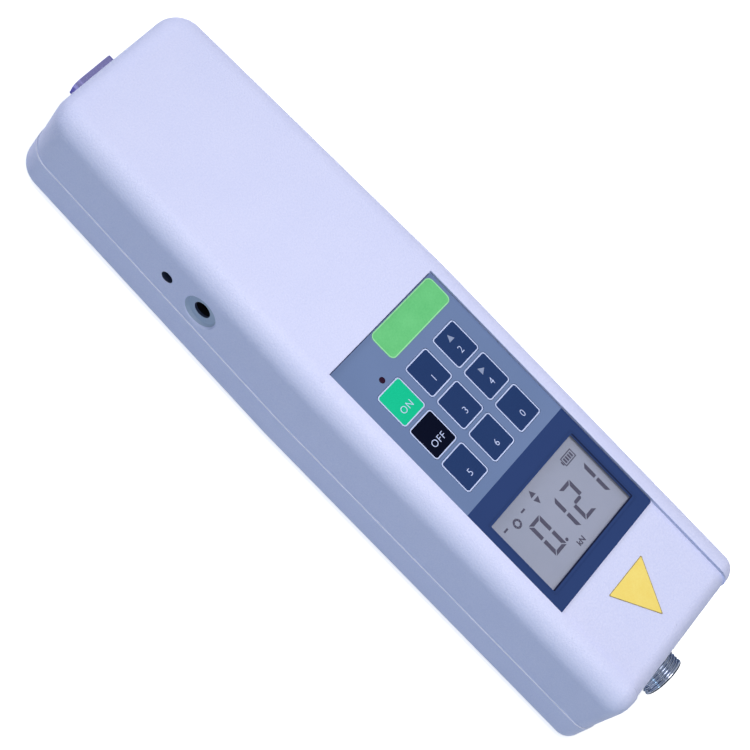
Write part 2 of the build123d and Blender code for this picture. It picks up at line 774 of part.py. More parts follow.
def header(x, width, y_start, under):
    """A connector on the underside of a board."""
    return box((x - width / 2, x + width / 2), (y_start, y_start + header_depth),
               (under - header_height, under))


def make_headers():
    """The connectors that the leads plug into."""
    link_header_width = link_width + 2 * header_side
    return [header(0, sensor_header_width, sensor_header_y, board_under),
            header(battery_lead_across, battery_header_width, battery_header_y, board_under),
            header(link_across, link_header_width, battery_header_y, board_under),
            header(link_across, link_header_width, link_header_y, power_under),
            header(0, serial_ribbon_width + 2 * header_side, serial_header_y, power_under)]


def lead(points, radius):
    """A round lead along straight runs with rounded corners."""
    path = FilletPolyline(*points, radius=lead_bend)
    start = Plane(origin=path @ 0, z_dir=path % 0)
    return sweep(start * Circle(radius), path=path)


def make_sensor_lead():
    """The lead from the sensor socket up to the main board."""
    start = sensor_back + sensor_cup_length
    rise = start + sensor_lead_run
    return lead([(0, start, rear_depth), (0, rise, rear_depth), (0, rise, lead_z),
                 (0, sensor_header_y, lead_z)], sensor_lead_radius)


def make_battery_lead():
    """The lead from the battery pack up to the main board."""
    start = pack_y + pack_length / 2 + running_gap
    rise = start + battery_lead_run
    x = battery_lead_across
    return lead([(x, start, cell_z), (x, rise, cell_z), (x, rise, lead_z),
                 (x, battery_header_y + header_depth, lead_z)], battery_lead_radius)


def ribbon(points, width, x):
    """A flat cable in a plane across X, along straight runs with rounded corners."""
    path = FilletPolyline(*[(x, y, z) for y, z in points], radius=lead_bend)
    start = Plane(origin=path @ 0, x_dir=(1, 0, 0), z_dir=path % 0)
    return sweep(start * Rectangle(width, ribbon_thickness), path=path)


def make_link_ribbon():
    """The flat cable between the two boards."""
    start, end = battery_header_y + header_depth, link_header_y
    return ribbon([(start, lead_z), (start + link_first_run, lead_z), (end - link_last_run, link_z),
                   (end, link_z)],
                  link_width, link_across)


def make_serial_ribbon():
    """The flat cable from the serial plug to the power board."""
    start, end = serial_body_back - serial_cup_length, serial_header_y + header_depth
    return ribbon([(start, serial_height), (start - serial_ribbon_run, serial_height),
                   (end + serial_ribbon_run, link_z), (end, link_z)],
                  serial_ribbon_width, 0)


def chip(x, y, width, depth, height, under):
    """A chip on the underside of a board."""
    return box((x - width / 2, x + width / 2), (y - depth / 2, y + depth / 2), (under - height, under))


def make_main_chips():
    """The processor and two amplifiers under the main board."""
    processor = chip(0, shoulder - processor_drop, processor_side, processor_side, processor_height,
                     board_under)
    amplifiers = [chip(x, shoulder - drop, amplifier_width, amplifier_depth, amplifier_height, board_under)
                  for x, drop in amplifiers_at]
    return [processor, *amplifiers]


def make_power_parts():
    """The charger chip and two capacitors under the power board."""
    y = jack_y + charger_past_jack
    charger = chip(charger_across, y, charger_width, charger_depth, amplifier_height, power_under)
    y += capacitor_past_charger
    capacitors = [rod(capacitor_radius, (x, y, power_under - capacitor_height), (x, y, power_under))
                  for x in capacitors_across]
    return [charger, *capacitors]


def make_led():
    """The status lamp on the main board, shining up through the front cover."""
    x, y = led_across, shoulder - led_drop
    top = channel_floor - fit_gap
    body = rod(led_radius, (x, y, board_top), (x, y, top - led_radius))
    return body + Pos(x, y, top - led_radius) * Sphere(led_radius)


def make_marker():
    """The triangular sticker between the display and the sensor socket."""
    tall = marker_side * sin(radians(60))
    shape = make_face(Polyline((-marker_side / 2, 0), (marker_side / 2, 0), (0, -tall), close=True))
    shape = fillet(shape.vertices(), marker_corner)
    return extrude(Pos(0, shoulder - marker_drop, channel_floor) * shape, sticker_thickness)


def save(name, *solids):
    """Write one node: a solid, or a group of separate solids."""
    shape = solids[0] if len(solids) == 1 else Compound(children=list(solids))
    shape.label = name
    export_step(shape, f"parts/{name}.step")


def make_all():
    """Build every node."""
    os.makedirs("parts", exist_ok=True)
    save("front_cover", make_front_cover())
    save("rear_cover", make_rear_cover())
    save("keypad_overlay", make_overlay())
    for name, place in key_grid.items():
        save(f"key_{name}", make_key(*place))
        save(f"switch_stem_{name}", make_stem(*place))
    save("switch_bodies", *[make_switch(*place) for place in key_grid.values()])
    window_low = channel_floor
    save("display_window", slab(window_width + 2 * window_ledge - fit_gap,
                                window_length + 2 * window_ledge - fit_gap, overlay_corner, 0, window_y,
                                window_low, window_low + overlay_thickness))
    save("lcd_glass", box((-glass_width / 2, glass_width / 2),
                          (window_y - glass_length / 2, window_y + glass_length / 2),
                          (glass_under, glass_top)))
    save("lcd_reflector", make_reflector())
    save("lcd_frame", make_lcd_frame())
    save("lcd_contact_strips", *make_strips())
    save("main_board", make_board(board_width, (shoulder - board_bottom_drop, shoulder - board_top_drop),
                                  (board_under, board_top), main_screws_at))
    save("main_board_chips", *make_main_chips())
    save("power_board", make_board(power_board_width,
                                   (shoulder + power_board_start, shoulder + power_board_end),
                                   (power_under, power_top), power_screws_at))
    save("power_board_parts", *make_power_parts())
    small = (small_head_radius, small_head_height, small_screw_radius, small_screw_length)
    save("board_screws", *[make_screw(x, y, board_under, *small) for x, y in main_screws_at],
         *[make_screw(x, y, power_under, *small) for x, y in power_screws_at])
    save("board_headers", *make_headers())
    save("status_led", make_led())
    save("led_window", rod(led_window_radius, (led_across, shoulder - led_drop, channel_floor),
                           (led_across, shoulder - led_drop, channel_floor + overlay_thickness)))
    save("reset_switch_body", make_reset_switch())
    save("reset_stem", make_reset_stem())
    save("power_socket_body", make_jack_body())
    save("power_socket_pin", make_jack_pin())
    save("serial_shell", make_serial_shell())
    save("serial_insulator", make_serial_insulator())
    save("serial_pins", *make_serial_pins())
    save("serial_screws", *[make_serial_screw(side) for side in (-1, 1)])
    save("serial_nuts", *[make_serial_nut(side) for side in (-1, 1)])
    save("serial_ribbon", make_serial_ribbon())
    save("sensor_socket_shell", make_sensor_shell())
    save("sensor_socket_insulator", make_sensor_insulator())
    save("sensor_socket_pins", *make_sensor_pins())
    save("sensor_lead", make_sensor_lead())
    save("battery_cells", *make_cells())
    save("battery_wrap", make_wrap())
    save("battery_pad", make_pad())
    save("battery_lead", make_battery_lead())
    save("link_ribbon", make_link_ribbon())
    bite = rear_depth - counterbore_depth + case_screw_bite
    save("case_screws", *[make_screw(x, y, counterbore_depth, case_head_radius, case_head_height,
                                     case_screw_radius, bite) for x, y in case_screws_at])
    save("name_sticker", slab(name_sticker_width, name_sticker_length, name_sticker_corner,
                              name_sticker_across, shoulder - name_sticker_drop,
                              channel_floor + overlay_thickness,
                              channel_floor + overlay_thickness + sticker_thickness))
    save("marker_sticker", make_marker())


make_all()
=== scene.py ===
"""Dresses the hand-held force gauge: moulded case, printed film, keys, display, sockets, studio."""

import json
import logging
import math
from dataclasses import dataclass, field
from enum import Enum
from typing import ClassVar, Iterable, Optional, Sequence

import bmesh
import bpy
from mathutils import Matrix, Vector
from mathutils.bvhtree import BVHTree


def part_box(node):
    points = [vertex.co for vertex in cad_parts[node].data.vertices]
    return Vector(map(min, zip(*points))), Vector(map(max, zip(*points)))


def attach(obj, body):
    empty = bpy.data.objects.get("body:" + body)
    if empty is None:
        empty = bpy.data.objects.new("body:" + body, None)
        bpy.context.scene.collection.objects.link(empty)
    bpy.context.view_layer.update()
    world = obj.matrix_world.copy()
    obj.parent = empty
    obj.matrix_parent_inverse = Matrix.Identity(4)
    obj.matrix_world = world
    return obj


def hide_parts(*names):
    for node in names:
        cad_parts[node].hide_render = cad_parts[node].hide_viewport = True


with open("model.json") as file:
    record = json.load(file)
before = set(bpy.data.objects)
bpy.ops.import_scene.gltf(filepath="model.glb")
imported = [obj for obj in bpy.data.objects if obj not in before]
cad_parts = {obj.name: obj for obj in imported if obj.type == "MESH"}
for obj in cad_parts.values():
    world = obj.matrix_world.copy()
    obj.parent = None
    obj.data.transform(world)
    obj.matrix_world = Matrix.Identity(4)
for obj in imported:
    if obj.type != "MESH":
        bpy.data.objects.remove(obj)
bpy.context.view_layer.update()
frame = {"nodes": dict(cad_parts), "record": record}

MM = 0.001
PRINT_IOR = 1.16    # a velvet film scatters its reflection, so little of it reaches the eye
BLACK_IOR = 1.08    # the same on black print, where any reflection shows as grey
DULL_IOR = 1.25     # black plastic deep in a hole, out of the reach of the lamps' reflection
CASE_BODY = "case"
KEYS = ("on", "set", "send", "off", "unit", "store", "data", "peak", "zero")
SIDES = (-1, 1)
log = logging.getLogger("force_gauge")

Point = tuple[float, float]
WidthHeight = tuple[float, float]
Outline = list[Point]


def linear(hex_colour: str) -> tuple[float, float, float, float]:
    """Turns an sRGB colour into the linear one that shaders take.

    Args:
        hex_colour: The colour, such as "#D6DCFA".

    Returns:
        Red, green, blue and an alpha of 1.
    """
    parts = [int(hex_colour[i:i + 2], 16) / 255 for i in (1, 3, 5)]
    red, green, blue = (p / 12.92 if p <= 0.04045 else ((p + 0.055) / 1.055) ** 2.4 for p in parts)
    return red, green, blue, 1.0


def add(tree: bpy.types.NodeTree, kind: str, inputs: Optional[dict] = None,
        **settings: object) -> bpy.types.Node:
    """Adds one node to a tree.

    Where sockets share a name, their numbers are given. A Mix node has its share at 0, its two numbers
    at 2 and 3 and its two colours at 6 and 7. Map Range has its value at 0, the range that this comes
    from at 1 and 2, and the range that it is brought to at 3 and 4.

    Args:
        tree: The material's or the geometry's tree.
        kind: The node's type, by its Blender name.
        inputs: Socket name or number to a value, to the socket that feeds it, or to a list of those.
        settings: Properties of the node itself.

    Returns:
        The new node.
    """
    node = tree.nodes.new(kind)
    for name, value in settings.items():
        setattr(node, name, value)
    for socket, value in (inputs or {}).items():
        for part in value if isinstance(value, list) else [value]:
            if isinstance(part, bpy.types.NodeSocket):
                tree.links.new(part, node.inputs[socket])
            else:
                node.inputs[socket].default_value = part
    return node


class Pattern(Enum):
    """What a finish's fine texture is made of."""

    GRAIN = "spark-eroded or cast grain"
    CELLS = "rounded pits, as in foam"
    STRIPES = "parallel ribs across X, as in ribbon cable"
    BRUSHED = "fine lines along X"


@dataclass(frozen=True)
class Patch:
    """A box of a surface that has another colour, in metres in the gauge's frame."""

    low: tuple[float, float, float]
    high: tuple[float, float, float]
    colour: str

    def mix_into(self, tree: bpy.types.NodeTree, place: bpy.types.NodeSocket,
                 colour: bpy.types.NodeSocket) -> bpy.types.NodeSocket:
        """Lays this patch over a colour.

        Args:
            tree: The material's tree.
            place: Object coordinates.
            colour: The colour outside the patch.

        Returns:
            The mixed colour.
        """
        axes = add(tree, "ShaderNodeSeparateXYZ", {0: place})
        inside = None
        for axis, (start, end) in enumerate(zip(self.low, self.high)):
            near = add(tree, "ShaderNodeMath", {0: axes.outputs[axis], 1: (start + end) / 2,
                                                2: (end - start) / 2}, operation="COMPARE").outputs[0]
            if inside is not None:
                near = add(tree, "ShaderNodeMath", {0: inside, 1: near}, operation="MULTIPLY").outputs[0]
            inside = near
        return add(tree, "ShaderNodeMix", {0: inside, 6: colour, 7: linear(self.colour)},
                   data_type="RGBA").outputs[2]


@dataclass(frozen=True)
class Finish:
    """One surface finish: two near tones, a fine pattern with its relief, and gloss."""

    name: str
    dark: str
    light: str
    roughness: float
    pattern: Pattern = Pattern.GRAIN
    size_mm: float = 0.5
    relief_mm: float = 0.01
    rough_swing: float = 0.05
    metallic: float = 0.0
    ior: float = 1.5
    coat: float = 0.0
    alpha: float = 1.0
    cloud_mm: float = 25.0
    cloud: float = 0.25
    patches: tuple[Patch, ...] = ()
    grazing: str = "#FFFFFF"

    wave_step: ClassVar[float] = math.pi / 10                           # a wave texture's own rib width
    brush_stretch: ClassVar[tuple[float, ...]] = (0.06, 1.0, 1.0)       # brushed lines run along X
    grain_detail: ClassVar[float] = 3.0
    grain_mix: ClassVar[float] = 0.6
    tone_range: ClassVar[tuple[float, float]] = (0.3, 0.7)              # where noise has its tones
    gloss_limits: ClassVar[tuple[float, float]] = (0.02, 1.0)
    coat_roughness: ClassVar[float] = 0.12

    def pattern_value(self, tree: bpy.types.NodeTree, place: bpy.types.NodeSocket) -> bpy.types.NodeSocket:
        """The fine pattern as a value from 0 to 1.

        Args:
            tree: The material's tree.
            place: Object coordinates.

        Returns:
            The pattern's value.
        """
        scale = 1 / (self.size_mm * MM)
        if self.pattern is Pattern.CELLS:
            return add(tree, "ShaderNodeTexVoronoi", {"Vector": place, "Scale": scale}).outputs["Distance"]
        if self.pattern is Pattern.STRIPES:
            scale *= self.wave_step
            return add(tree, "ShaderNodeTexWave", {"Vector": place, "Scale": scale}).outputs[1]
        if self.pattern is Pattern.BRUSHED:
            place = add(tree, "ShaderNodeMapping", {"Vector": place, "Scale": self.brush_stretch}).outputs[0]
        return add(tree, "ShaderNodeTexNoise", {"Vector": place, "Scale": scale, "Detail": self.grain_detail,
                                                "Roughness": self.grain_mix}).outputs[0]

    def material(self) -> bpy.types.Material:
        """Builds the node material.

        Returns:
            A material that reads Object coordinates only.
        """
        made = bpy.data.materials.new(self.name)
        made.use_nodes = True
        tree = made.node_tree
        tree.nodes.clear()
        place = add(tree, "ShaderNodeTexCoord").outputs["Object"]
        fine = self.pattern_value(tree, place)
        cloud_scale = 1 / (self.cloud_mm * MM)
        broad = add(tree, "ShaderNodeTexNoise", {"Vector": place, "Scale": cloud_scale}).outputs[0]
        tone = add(tree, "ShaderNodeMix", {0: self.cloud, 2: fine, 3: broad}).outputs[0]
        darkest, lightest = self.tone_range
        tone = add(tree, "ShaderNodeMapRange", {0: tone, 1: darkest, 2: lightest}).outputs[0]
        colour = add(tree, "ShaderNodeMix", {0: tone, 6: linear(self.dark), 7: linear(self.light)},
                     data_type="RGBA").outputs[2]
        for patch in self.patches:
            colour = patch.mix_into(tree, place, colour)
        glossiest, dullest = self.gloss_limits
        rough = add(tree, "ShaderNodeMapRange", {
            0: fine, 3: max(self.roughness - self.rough_swing, glossiest),
            4: min(self.roughness + self.rough_swing, dullest)}).outputs[0]
        shader = add(tree, "ShaderNodeBsdfPrincipled", {
            "Base Color": colour, "Roughness": rough, "Metallic": self.metallic, "IOR": self.ior,
            "Coat Weight": self.coat, "Coat Roughness": self.coat_roughness, "Alpha": self.alpha,
            "Specular Tint": linear(self.grazing)})
        if self.relief_mm:
            bump = add(tree, "ShaderNodeBump", {"Height": fine, "Distance": self.relief_mm * MM})
            tree.links.new(bump.outputs[0], shader.inputs["Normal"])
        add(tree, "ShaderNodeOutputMaterial", {0: shader.outputs[0]})
        return made


def centre_and_size(node: str) -> tuple[Vector, Vector]:
    """The middle and the size of a CAD node's box."""
    low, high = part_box(node)
    return (low + high) / 2, high - low


class CoverSkin:
    """Finds the front cover's outer skin by looking at it from outside."""

    def __init__(self) -> None:
        mesh = frame["nodes"]["front_cover"].data
        self._faces = BVHTree.FromPolygons([vert.co.copy() for vert in mesh.vertices],
                                           [tuple(face.vertices) for face in mesh.polygons])

    def look(self, start: Vector, way: Vector) -> tuple[Optional[Vector], Vector]:
        """What a ray meets first.

        Args:
            start: Where the ray starts.
            way: Its direction.

        Returns:
            The place that it meets, or None, and the face's direction outwards, flat.
        """
        place, normal, _, _ = self._faces.ray_cast(start, way)
        if place is None:
            return None, Vector((0.0, 0.0, 0.0))
        flat = Vector((normal.x, normal.y, 0.0)).normalized()
        return place, -flat if flat.dot(way) > 0 else flat

    def across(self, y: float, z: float) -> float:
        """The left wall's place along X, or 0 where there is none."""
        place, _ = self.look(Vector((-1.0, y, z)), Vector((1.0, 0.0, 0.0)))
        return place.x if place else 0.0

    def outwards(self, point: Vector, level: float, depth: float) -> Vector:
        """The outward direction of the outer wall that a point belongs to.

        Args:
            point: The point.
            level: A height at which the wall has no holes.
            depth: How deep below the wall's face a point still belongs to it.

        Returns:
            The flat direction, or nothing where the point lies deeper.
        """
        for axis in (0, 1):
            side = math.copysign(1.0, point[axis])
            start, way = Vector((point.x, point.y, level)), Vector((0.0, 0.0, 0.0))
            start[axis], way[axis] = side, -side
            place, normal = self.look(start, way)
            if place is not None and abs(place[axis] - point[axis]) < depth:
                return normal
        return Vector((0.0, 0.0, 0.0))


KEY_PRINT: dict[str, float] = {"size_mm": 0.35, "relief_mm": 0.003, "ior": PRINT_IOR}
FRAME_PRINT: dict[str, float] = {"size_mm": 0.35, "relief_mm": 0.004, "ior": PRINT_IOR}
NICKEL: dict[str, object] = {"pattern": Pattern.BRUSHED, "size_mm": 0.3, "relief_mm": 0.004, "metallic": 1.0}
VINYL: dict[str, float] = {"size_mm": 0.6, "relief_mm": 0.006, "cloud_mm": 5.0, "cloud": 0.5, "coat": 0.2}

# Grains much finer than a third of a millimetre wouldn't show, so they are drawn at about that size.
RECIPES: dict[str, Finish] = {
    # Screen-printed polycarbonate film: flat even inks under a soft velvet sheen.
    "key_green": Finish("key_print_green", "#10BF8C", "#18CC98", 0.4, **KEY_PRINT),
    "key_black": Finish("key_print_black", "#070B1F", "#0A1024", 0.4, **{**KEY_PRINT, "ior": BLACK_IOR}),
    "key_navy": Finish("key_print_navy", "#1F3663", "#263E6D", 0.4, **KEY_PRINT),
    # The same print in the pale ink of outlines and numbers, and in the greyer ink of the arrows.
    "pale_ink": Finish("film_print_pale", "#C2D0F6", "#CEDAFC", 0.4, **KEY_PRINT),
    "dim_ink": Finish("film_print_dim", "#8A97B6", "#96A3C2", 0.4, **KEY_PRINT),
    # The frame round the display, and painted shade at the foot of its inner edge.
    "navy_ink": Finish("film_print_navy", "#2A3F70", "#2E4374", 0.42, **FRAME_PRINT),
    "painted_frame_shade": Finish("film_painted_shade", "#0C1330", "#101836", 0.42, **FRAME_PRINT),
    # The clear part of the film: nearly nothing but a faint haze and a soft reflection.
    "window_film": Finish("clear_film", "#D8DCEE", "#E4E8F8", 0.3, size_mm=0.35, relief_mm=0.0, alpha=0.05,
                          ior=PRINT_IOR),
    # Polariser on glass over a grey reflector: flat grey with a slight violet cast.
    "lcd": Finish("lcd_polariser", "#959DB1", "#A1A6BA", 0.35, size_mm=6.0, relief_mm=0.0, ior=PRINT_IOR,
                  cloud_mm=30.0, cloud=0.8, rough_swing=0.02),
    # Switched-on liquid crystal: dark violet grey, not black.
    "lcd_dark": Finish("lcd_dark_segment", "#2E2A44", "#37324E", 0.4, size_mm=0.4, relief_mm=0.0,
                       ior=PRINT_IOR),
    # Metallised plastic sheet: pale silver grey with a dull mirror's sheen.
    "reflector": Finish("backing_sheet", "#C4C7CC", "#D4D7DC", 0.3, size_mm=0.3, relief_mm=0.004),
    # Moulded dark plastic inside the case: matt, with hardly any reflection. Its navy tone is partly painted
    # shade, for the band of it that shows round the display.
    "frame_plastic": Finish("moulded_dark_frame", "#2A3250", "#343C5A", 0.5, size_mm=0.5, relief_mm=0.01,
                            ior=DULL_IOR),
    # Silicone rubber in conducting and insulating layers: fine dark and pink ribs.
    "contact_rubber": Finish("layered_silicone", "#3A2424", "#A05A4E", 0.7, Pattern.STRIPES, 0.5, 0.01),
    # Solder mask over copper tracks: green lacquer, glossier on top, with faint ribs.
    "board_laminate": Finish("solder_mask_green", "#0E4A22", "#1B6A34", 0.35, Pattern.STRIPES, 2.2, 0.02,
                             coat=0.3),
    # Moulded epoxy: dull near-black with a fine tooth.
    "chip_black": Finish("moulded_epoxy", "#121214", "#1E1E21", 0.6, size_mm=0.25, relief_mm=0.01),
    # Moulded nylon: warm off-white, slightly waxy.
    "header_white": Finish("moulded_nylon", "#D6D2C2", "#E6E2D2", 0.45, size_mm=0.5, relief_mm=0.01),
    # Zinc-plated steel: grey metal whose gloss varies a little.
    "zinc_steel": Finish("zinc_plated_steel", "#8E9198", "#AEB1B8", 0.32, size_mm=0.3, relief_mm=0.01,
                         metallic=1.0, rough_swing=0.08),
    # Bright nickel over turned brass: sharp pale highlights beside dark reflections. Its colour and grazing
    # tint are darker and bluer than bare nickel, a painted reflection of dark surroundings.
    "nickel_plate": Finish("bright_nickel", "#98A1B3", "#B2BAC9", 0.16, rough_swing=0.04, grazing="#66748A",
                           **NICKEL),
    # The same nickel with painted shade for the socket's nose: darker, with softer highlights.
    "nickel_shade": Finish("nickel_painted_shade", "#4C566A", "#626C80", 0.3, rough_swing=0.05, grazing="#3A4456",
                           **NICKEL),
    # Painted shade at the bottom of the thread: dark lines between its bright turns.
    "groove_painted_shade": Finish("painted_groove_shade", "#1C2836", "#263446", 0.45, size_mm=0.3, relief_mm=0.003,
                         ior=DULL_IOR),
    # Plated screw steel: pale and bright, with the turning marks of its head.
    "bright_steel": Finish("plated_screw_steel", "#9A9DA8", "#B4B7C2", 0.25, rough_swing=0.05, **NICKEL),
    # Tinned sheet steel, drawn: a violet-blue cast painted into its colour and grazing tint, a painted
    # reflection of the pale surroundings that it mirrors.
    "tin_shell": Finish("tinned_steel_shell", "#6A689C", "#8280B2", 0.25, size_mm=0.4, relief_mm=0.004,
                        metallic=1.0, rough_swing=0.06, grazing="#4E4C86"),
    # Gold over nickel on turned brass: warm and bright.
    "gold_contact": Finish("gold_plated_brass", "#C79A3C", "#E8C66A", 0.22, size_mm=0.2, relief_mm=0.003,
                           metallic=1.0),
    # Moulded black thermoplastics: matt blacks, the insulator and the stems the darkest.
    "black_insulator": Finish("moulded_black_insulator", "#0E0F14", "#191A20", 0.5, size_mm=0.3,
                              relief_mm=0.008, ior=DULL_IOR),
    "switch_plastic": Finish("switch_body_black", "#151519", "#26262B", 0.5, size_mm=0.3, relief_mm=0.008),
    "stem_plastic": Finish("switch_stem_black", "#101116", "#1C1D22", 0.45, size_mm=0.3, relief_mm=0.006,
                           ior=DULL_IOR),
    # Tinted epoxy over an unlit lamp: a deep wine red that reads nearly black.
    "led_red": Finish("dark_red_lens", "#220A20", "#30102A", 0.35, size_mm=0.3, relief_mm=0.0, ior=PRINT_IOR),
    # Extruded soft vinyl: dull dark grey.
    "lead_sheath": Finish("grey_vinyl_lead", "#3A3B40", "#4A4B50", 0.55, size_mm=0.4, relief_mm=0.01),
    # Ribbon cable: one rib for each core, 1.27 mm apart.
    "ribbon_grey": Finish("ribbon_cable_vinyl", "#7F828A", "#A3A6AE", 0.5, Pattern.STRIPES, 1.27, 0.08),
    # Drawn steel cans: even soft metal.
    "cell_can": Finish("bare_cell_can", "#A8AAB0", "#C2C4CA", 0.3, size_mm=0.4, relief_mm=0.01, metallic=1.0),
    # Shrunk sleeve: blue, glossy, a little wavy.
    "shrink_wrap": Finish("shrink_sleeve_blue", "#1B3E86", "#25509F", 0.3, size_mm=1.5, relief_mm=0.03,
                          coat=0.3),
    # Cut foam: black pits with no sheen at all.
    "foam": Finish("open_cell_foam", "#101012", "#2C2C30", 0.95, Pattern.CELLS, 0.7, 0.25),
    # Vinyl with a faint mottle, as cheap ink on a glossy carrier gives.
    "sticker_green": Finish("green_vinyl_label", "#57BF70", "#69CC7F", 0.36, **VINYL),
    "sticker_yellow": Finish("yellow_vinyl_label", "#F6DA66", "#FBE57C", 0.36, **VINYL),
    # The lighter rim of the green sticker, and the darker cut edge of the yellow one.
    "sticker_green_rim": Finish("green_vinyl_rim", "#8CDC98", "#A0E8AA", 0.36, size_mm=0.6, relief_mm=0.004),
    "sticker_edge": Finish("vinyl_edge_brown", "#8C7C4C", "#A39160", 0.5, size_mm=0.4, relief_mm=0.004),
}


@dataclass
class CaseMould:
    """The case's plastic, and the places on it where shade or a highlight is painted into its colour."""

    outside: float = 0.45 * MM          # how far a patch reaches past a surface, to hold all of it
    well_depth: float = 2.5 * MM
    skin: float = 0.02 * MM
    seam_highlight_height: float = 0.14 * MM
    rail_gap: float = 0.1 * MM
    rail_step: float = 0.22 * MM
    rail_foot: float = 0.05 * MM
    rail_crest: float = 0.2 * MM
    dish_reach: float = 5.8 * MM
    dish_start: float = 0.62 * MM
    dish_depth: float = 1.1 * MM
    dish_probe: float = 6.5 * MM
    bore_reach: float = 2.95 * MM
    bore_start: float = 1.6 * MM
    bore_depth: float = 6.0 * MM
    reset_reach: float = 2.1 * MM
    reset_start: float = 0.25 * MM
    reset_depth: float = 5.0 * MM
    reset_probe: float = 2.5 * MM

    def finish(self) -> Finish:
        """Moulded ABS from a spark-eroded mould: dull, its fine even grain lit on the roundings.

        The real grain is some 0.1 mm wide. It is drawn at half a millimetre, so that it shows.

        Returns:
            The finish with its patches.
        """
        # Patches of painted shade, and one of a painted highlight along the seam.
        patches = (self.display_well_shade(), self.seam_highlight_line(), *self.rail_step_shades(), *self.side_hole_shades())
        return Finish("moulded_abs_pale_blue", "#D2D8FA", "#DEE2FF", 0.5, size_mm=0.55, relief_mm=0.145,
                      ior=1.42, cloud_mm=18.0, cloud=0.2, patches=patches)

    def display_well_shade(self) -> Patch:
        """Painted shade on the walls of the opening under the display's window.

        Returns:
            A patch below the window's underside.
        """
        low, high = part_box("display_window")
        return Patch((low.x, low.y, low.z - self.well_depth), (high.x, high.y, low.z - self.skin), "#2A3150")

    def seam_highlight_line(self) -> Patch:
        """Painted highlight on the rear cover's rounded edge along the seam.

        Returns:
            A patch that runs all round the case.
        """
        low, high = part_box("rear_cover")
        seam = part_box("front_cover")[0].z
        return Patch((low.x - self.outside, low.y - self.outside, seam - self.seam_highlight_height),
                     (high.x + self.outside, high.y + self.outside, seam + self.skin), "#EEF1FF")

    def rail_step_shades(self) -> list[Patch]:
        """Painted shade on the step up to each rail, which the film stops 0.2 mm short of.

        Returns:
            One patch for each side.
        """
        low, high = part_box("keypad_overlay")
        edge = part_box("rear_cover")[0].y
        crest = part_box("front_cover")[1].z - self.rail_crest
        foot = high.x + self.rail_gap
        ends = [sorted((side * foot, side * (foot + self.rail_step))) for side in SIDES]
        return [Patch((near, edge, low.z - self.rail_foot), (far, high.y, crest), "#B2B9D6")
                for near, far in ends]

    def side_hole_shades(self) -> list[Patch]:
        """Painted shade in the dish and the bore of the power socket, and in the reset hole, in the left
        wall.

        Returns:
            One patch for each.
        """
        skin = CoverSkin()
        socket, _ = centre_and_size("power_socket_pin")
        reset, _ = centre_and_size("reset_stem")
        dish_wall = skin.across(socket.y, socket.z - self.dish_probe)
        reset_wall = skin.across(reset.y, reset.z - self.reset_probe)
        return [Patch((start, middle.y - reach, middle.z - reach),
                      (start + depth, middle.y + reach, middle.z + reach), colour)
                for middle, reach, start, depth, colour in (
                    (socket, self.dish_reach, dish_wall + self.dish_start, self.dish_depth, "#A9B9D2"),
                    (socket, self.bore_reach, dish_wall + self.bore_start, self.bore_depth, "#38425E"),
                    (reset, self.reset_reach, reset_wall + self.reset_start, self.reset_depth, "#38425E"))]


@dataclass
class FilmPrint:
    """The keypad film's inks, its grey-blue field and the navy frame, and painted shade along its left and
    upper cut edges.
    """

    outside: float = 0.45 * MM
    navy_length: float = 37.9 * MM
    edge_shade_width: float = 0.26 * MM

    def finish(self) -> Finish:
        """Polycarbonate film, printed on its back and velvet on its face: soft sheen, even colour.

        Returns:
            The finish with its patches.
        """
        film_low, film_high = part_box("keypad_overlay")
        margin = Vector((self.outside, self.outside, self.outside))
        low, high = film_low - margin, film_high + margin
        navy = Patch(tuple(low), (high.x, film_low.y + self.navy_length, high.z), "#2C4172")
        # Painted shade along the film's left and upper cut edges.
        left = Patch(tuple(low), (film_low.x + self.edge_shade_width, high.y, high.z), "#27304E")
        top = Patch((low.x, film_high.y - self.edge_shade_width, low.z), tuple(high), "#3A4566")
        return Finish("printed_film_grey_blue", "#6A7FA6", "#7387AF", 0.42, cloud_mm=40.0, cloud=0.7,
                      patches=(navy, left, top), **FRAME_PRINT)


class Finishes:
    """Every finish of the gauge, by the record's slot name, made once each."""

    def __init__(self) -> None:
        """Adds the two finishes that depend on the frame to the others."""
        self._recipes = {"case_plastic": CaseMould().finish(), "overlay_film": FilmPrint().finish(),
                         **RECIPES}
        self._made: dict[str, bpy.types.Material] = {}

    def __getitem__(self, slot: str) -> bpy.types.Material:
        """The material of a slot, built when it is first asked for.

        Args:
            slot: The record's slot name, or one of the further finishes' names.

        Returns:
            The material.
        """
        if slot not in self._made:
            self._made[slot] = self._recipes[slot].material()
        return self._made[slot]


def rounded_rectangle(width: float, length: float, corner: float, steps: int = 8) -> Outline:
    """A rounded rectangle about the origin.

    Args:
        width: Its size along X.
        length: Its size along Y.
        corner: The radius of its corners.
        steps: How many edges each corner has.

    Returns:
        Its points, anticlockwise.
    """
    points = []
    for quarter, (side_x, side_y) in enumerate(((1, 1), (-1, 1), (-1, -1), (1, -1))):
        for step in range(steps + 1):
            angle = (quarter + step / steps) * math.pi / 2
            points.append((side_x * (width / 2 - corner) + corner * math.cos(angle),
                           side_y * (length / 2 - corner) + corner * math.sin(angle)))
    return points


def to_ring(outline: Outline, centre: Vector, height: float) -> list[Vector]:
    """An outline laid flat at a height."""
    return [Vector((centre.x + x, centre.y + y, height)) for x, y in outline]


def link(name: str, data: bpy.types.ID) -> bpy.types.Object:
    """Makes an object at the origin of the scene.

    Args:
        name: Its name.
        data: Its mesh, curve, light or camera.

    Returns:
        The object.
    """
    made = bpy.data.objects.new(name, data)
    bpy.context.scene.collection.objects.link(made)
    return made


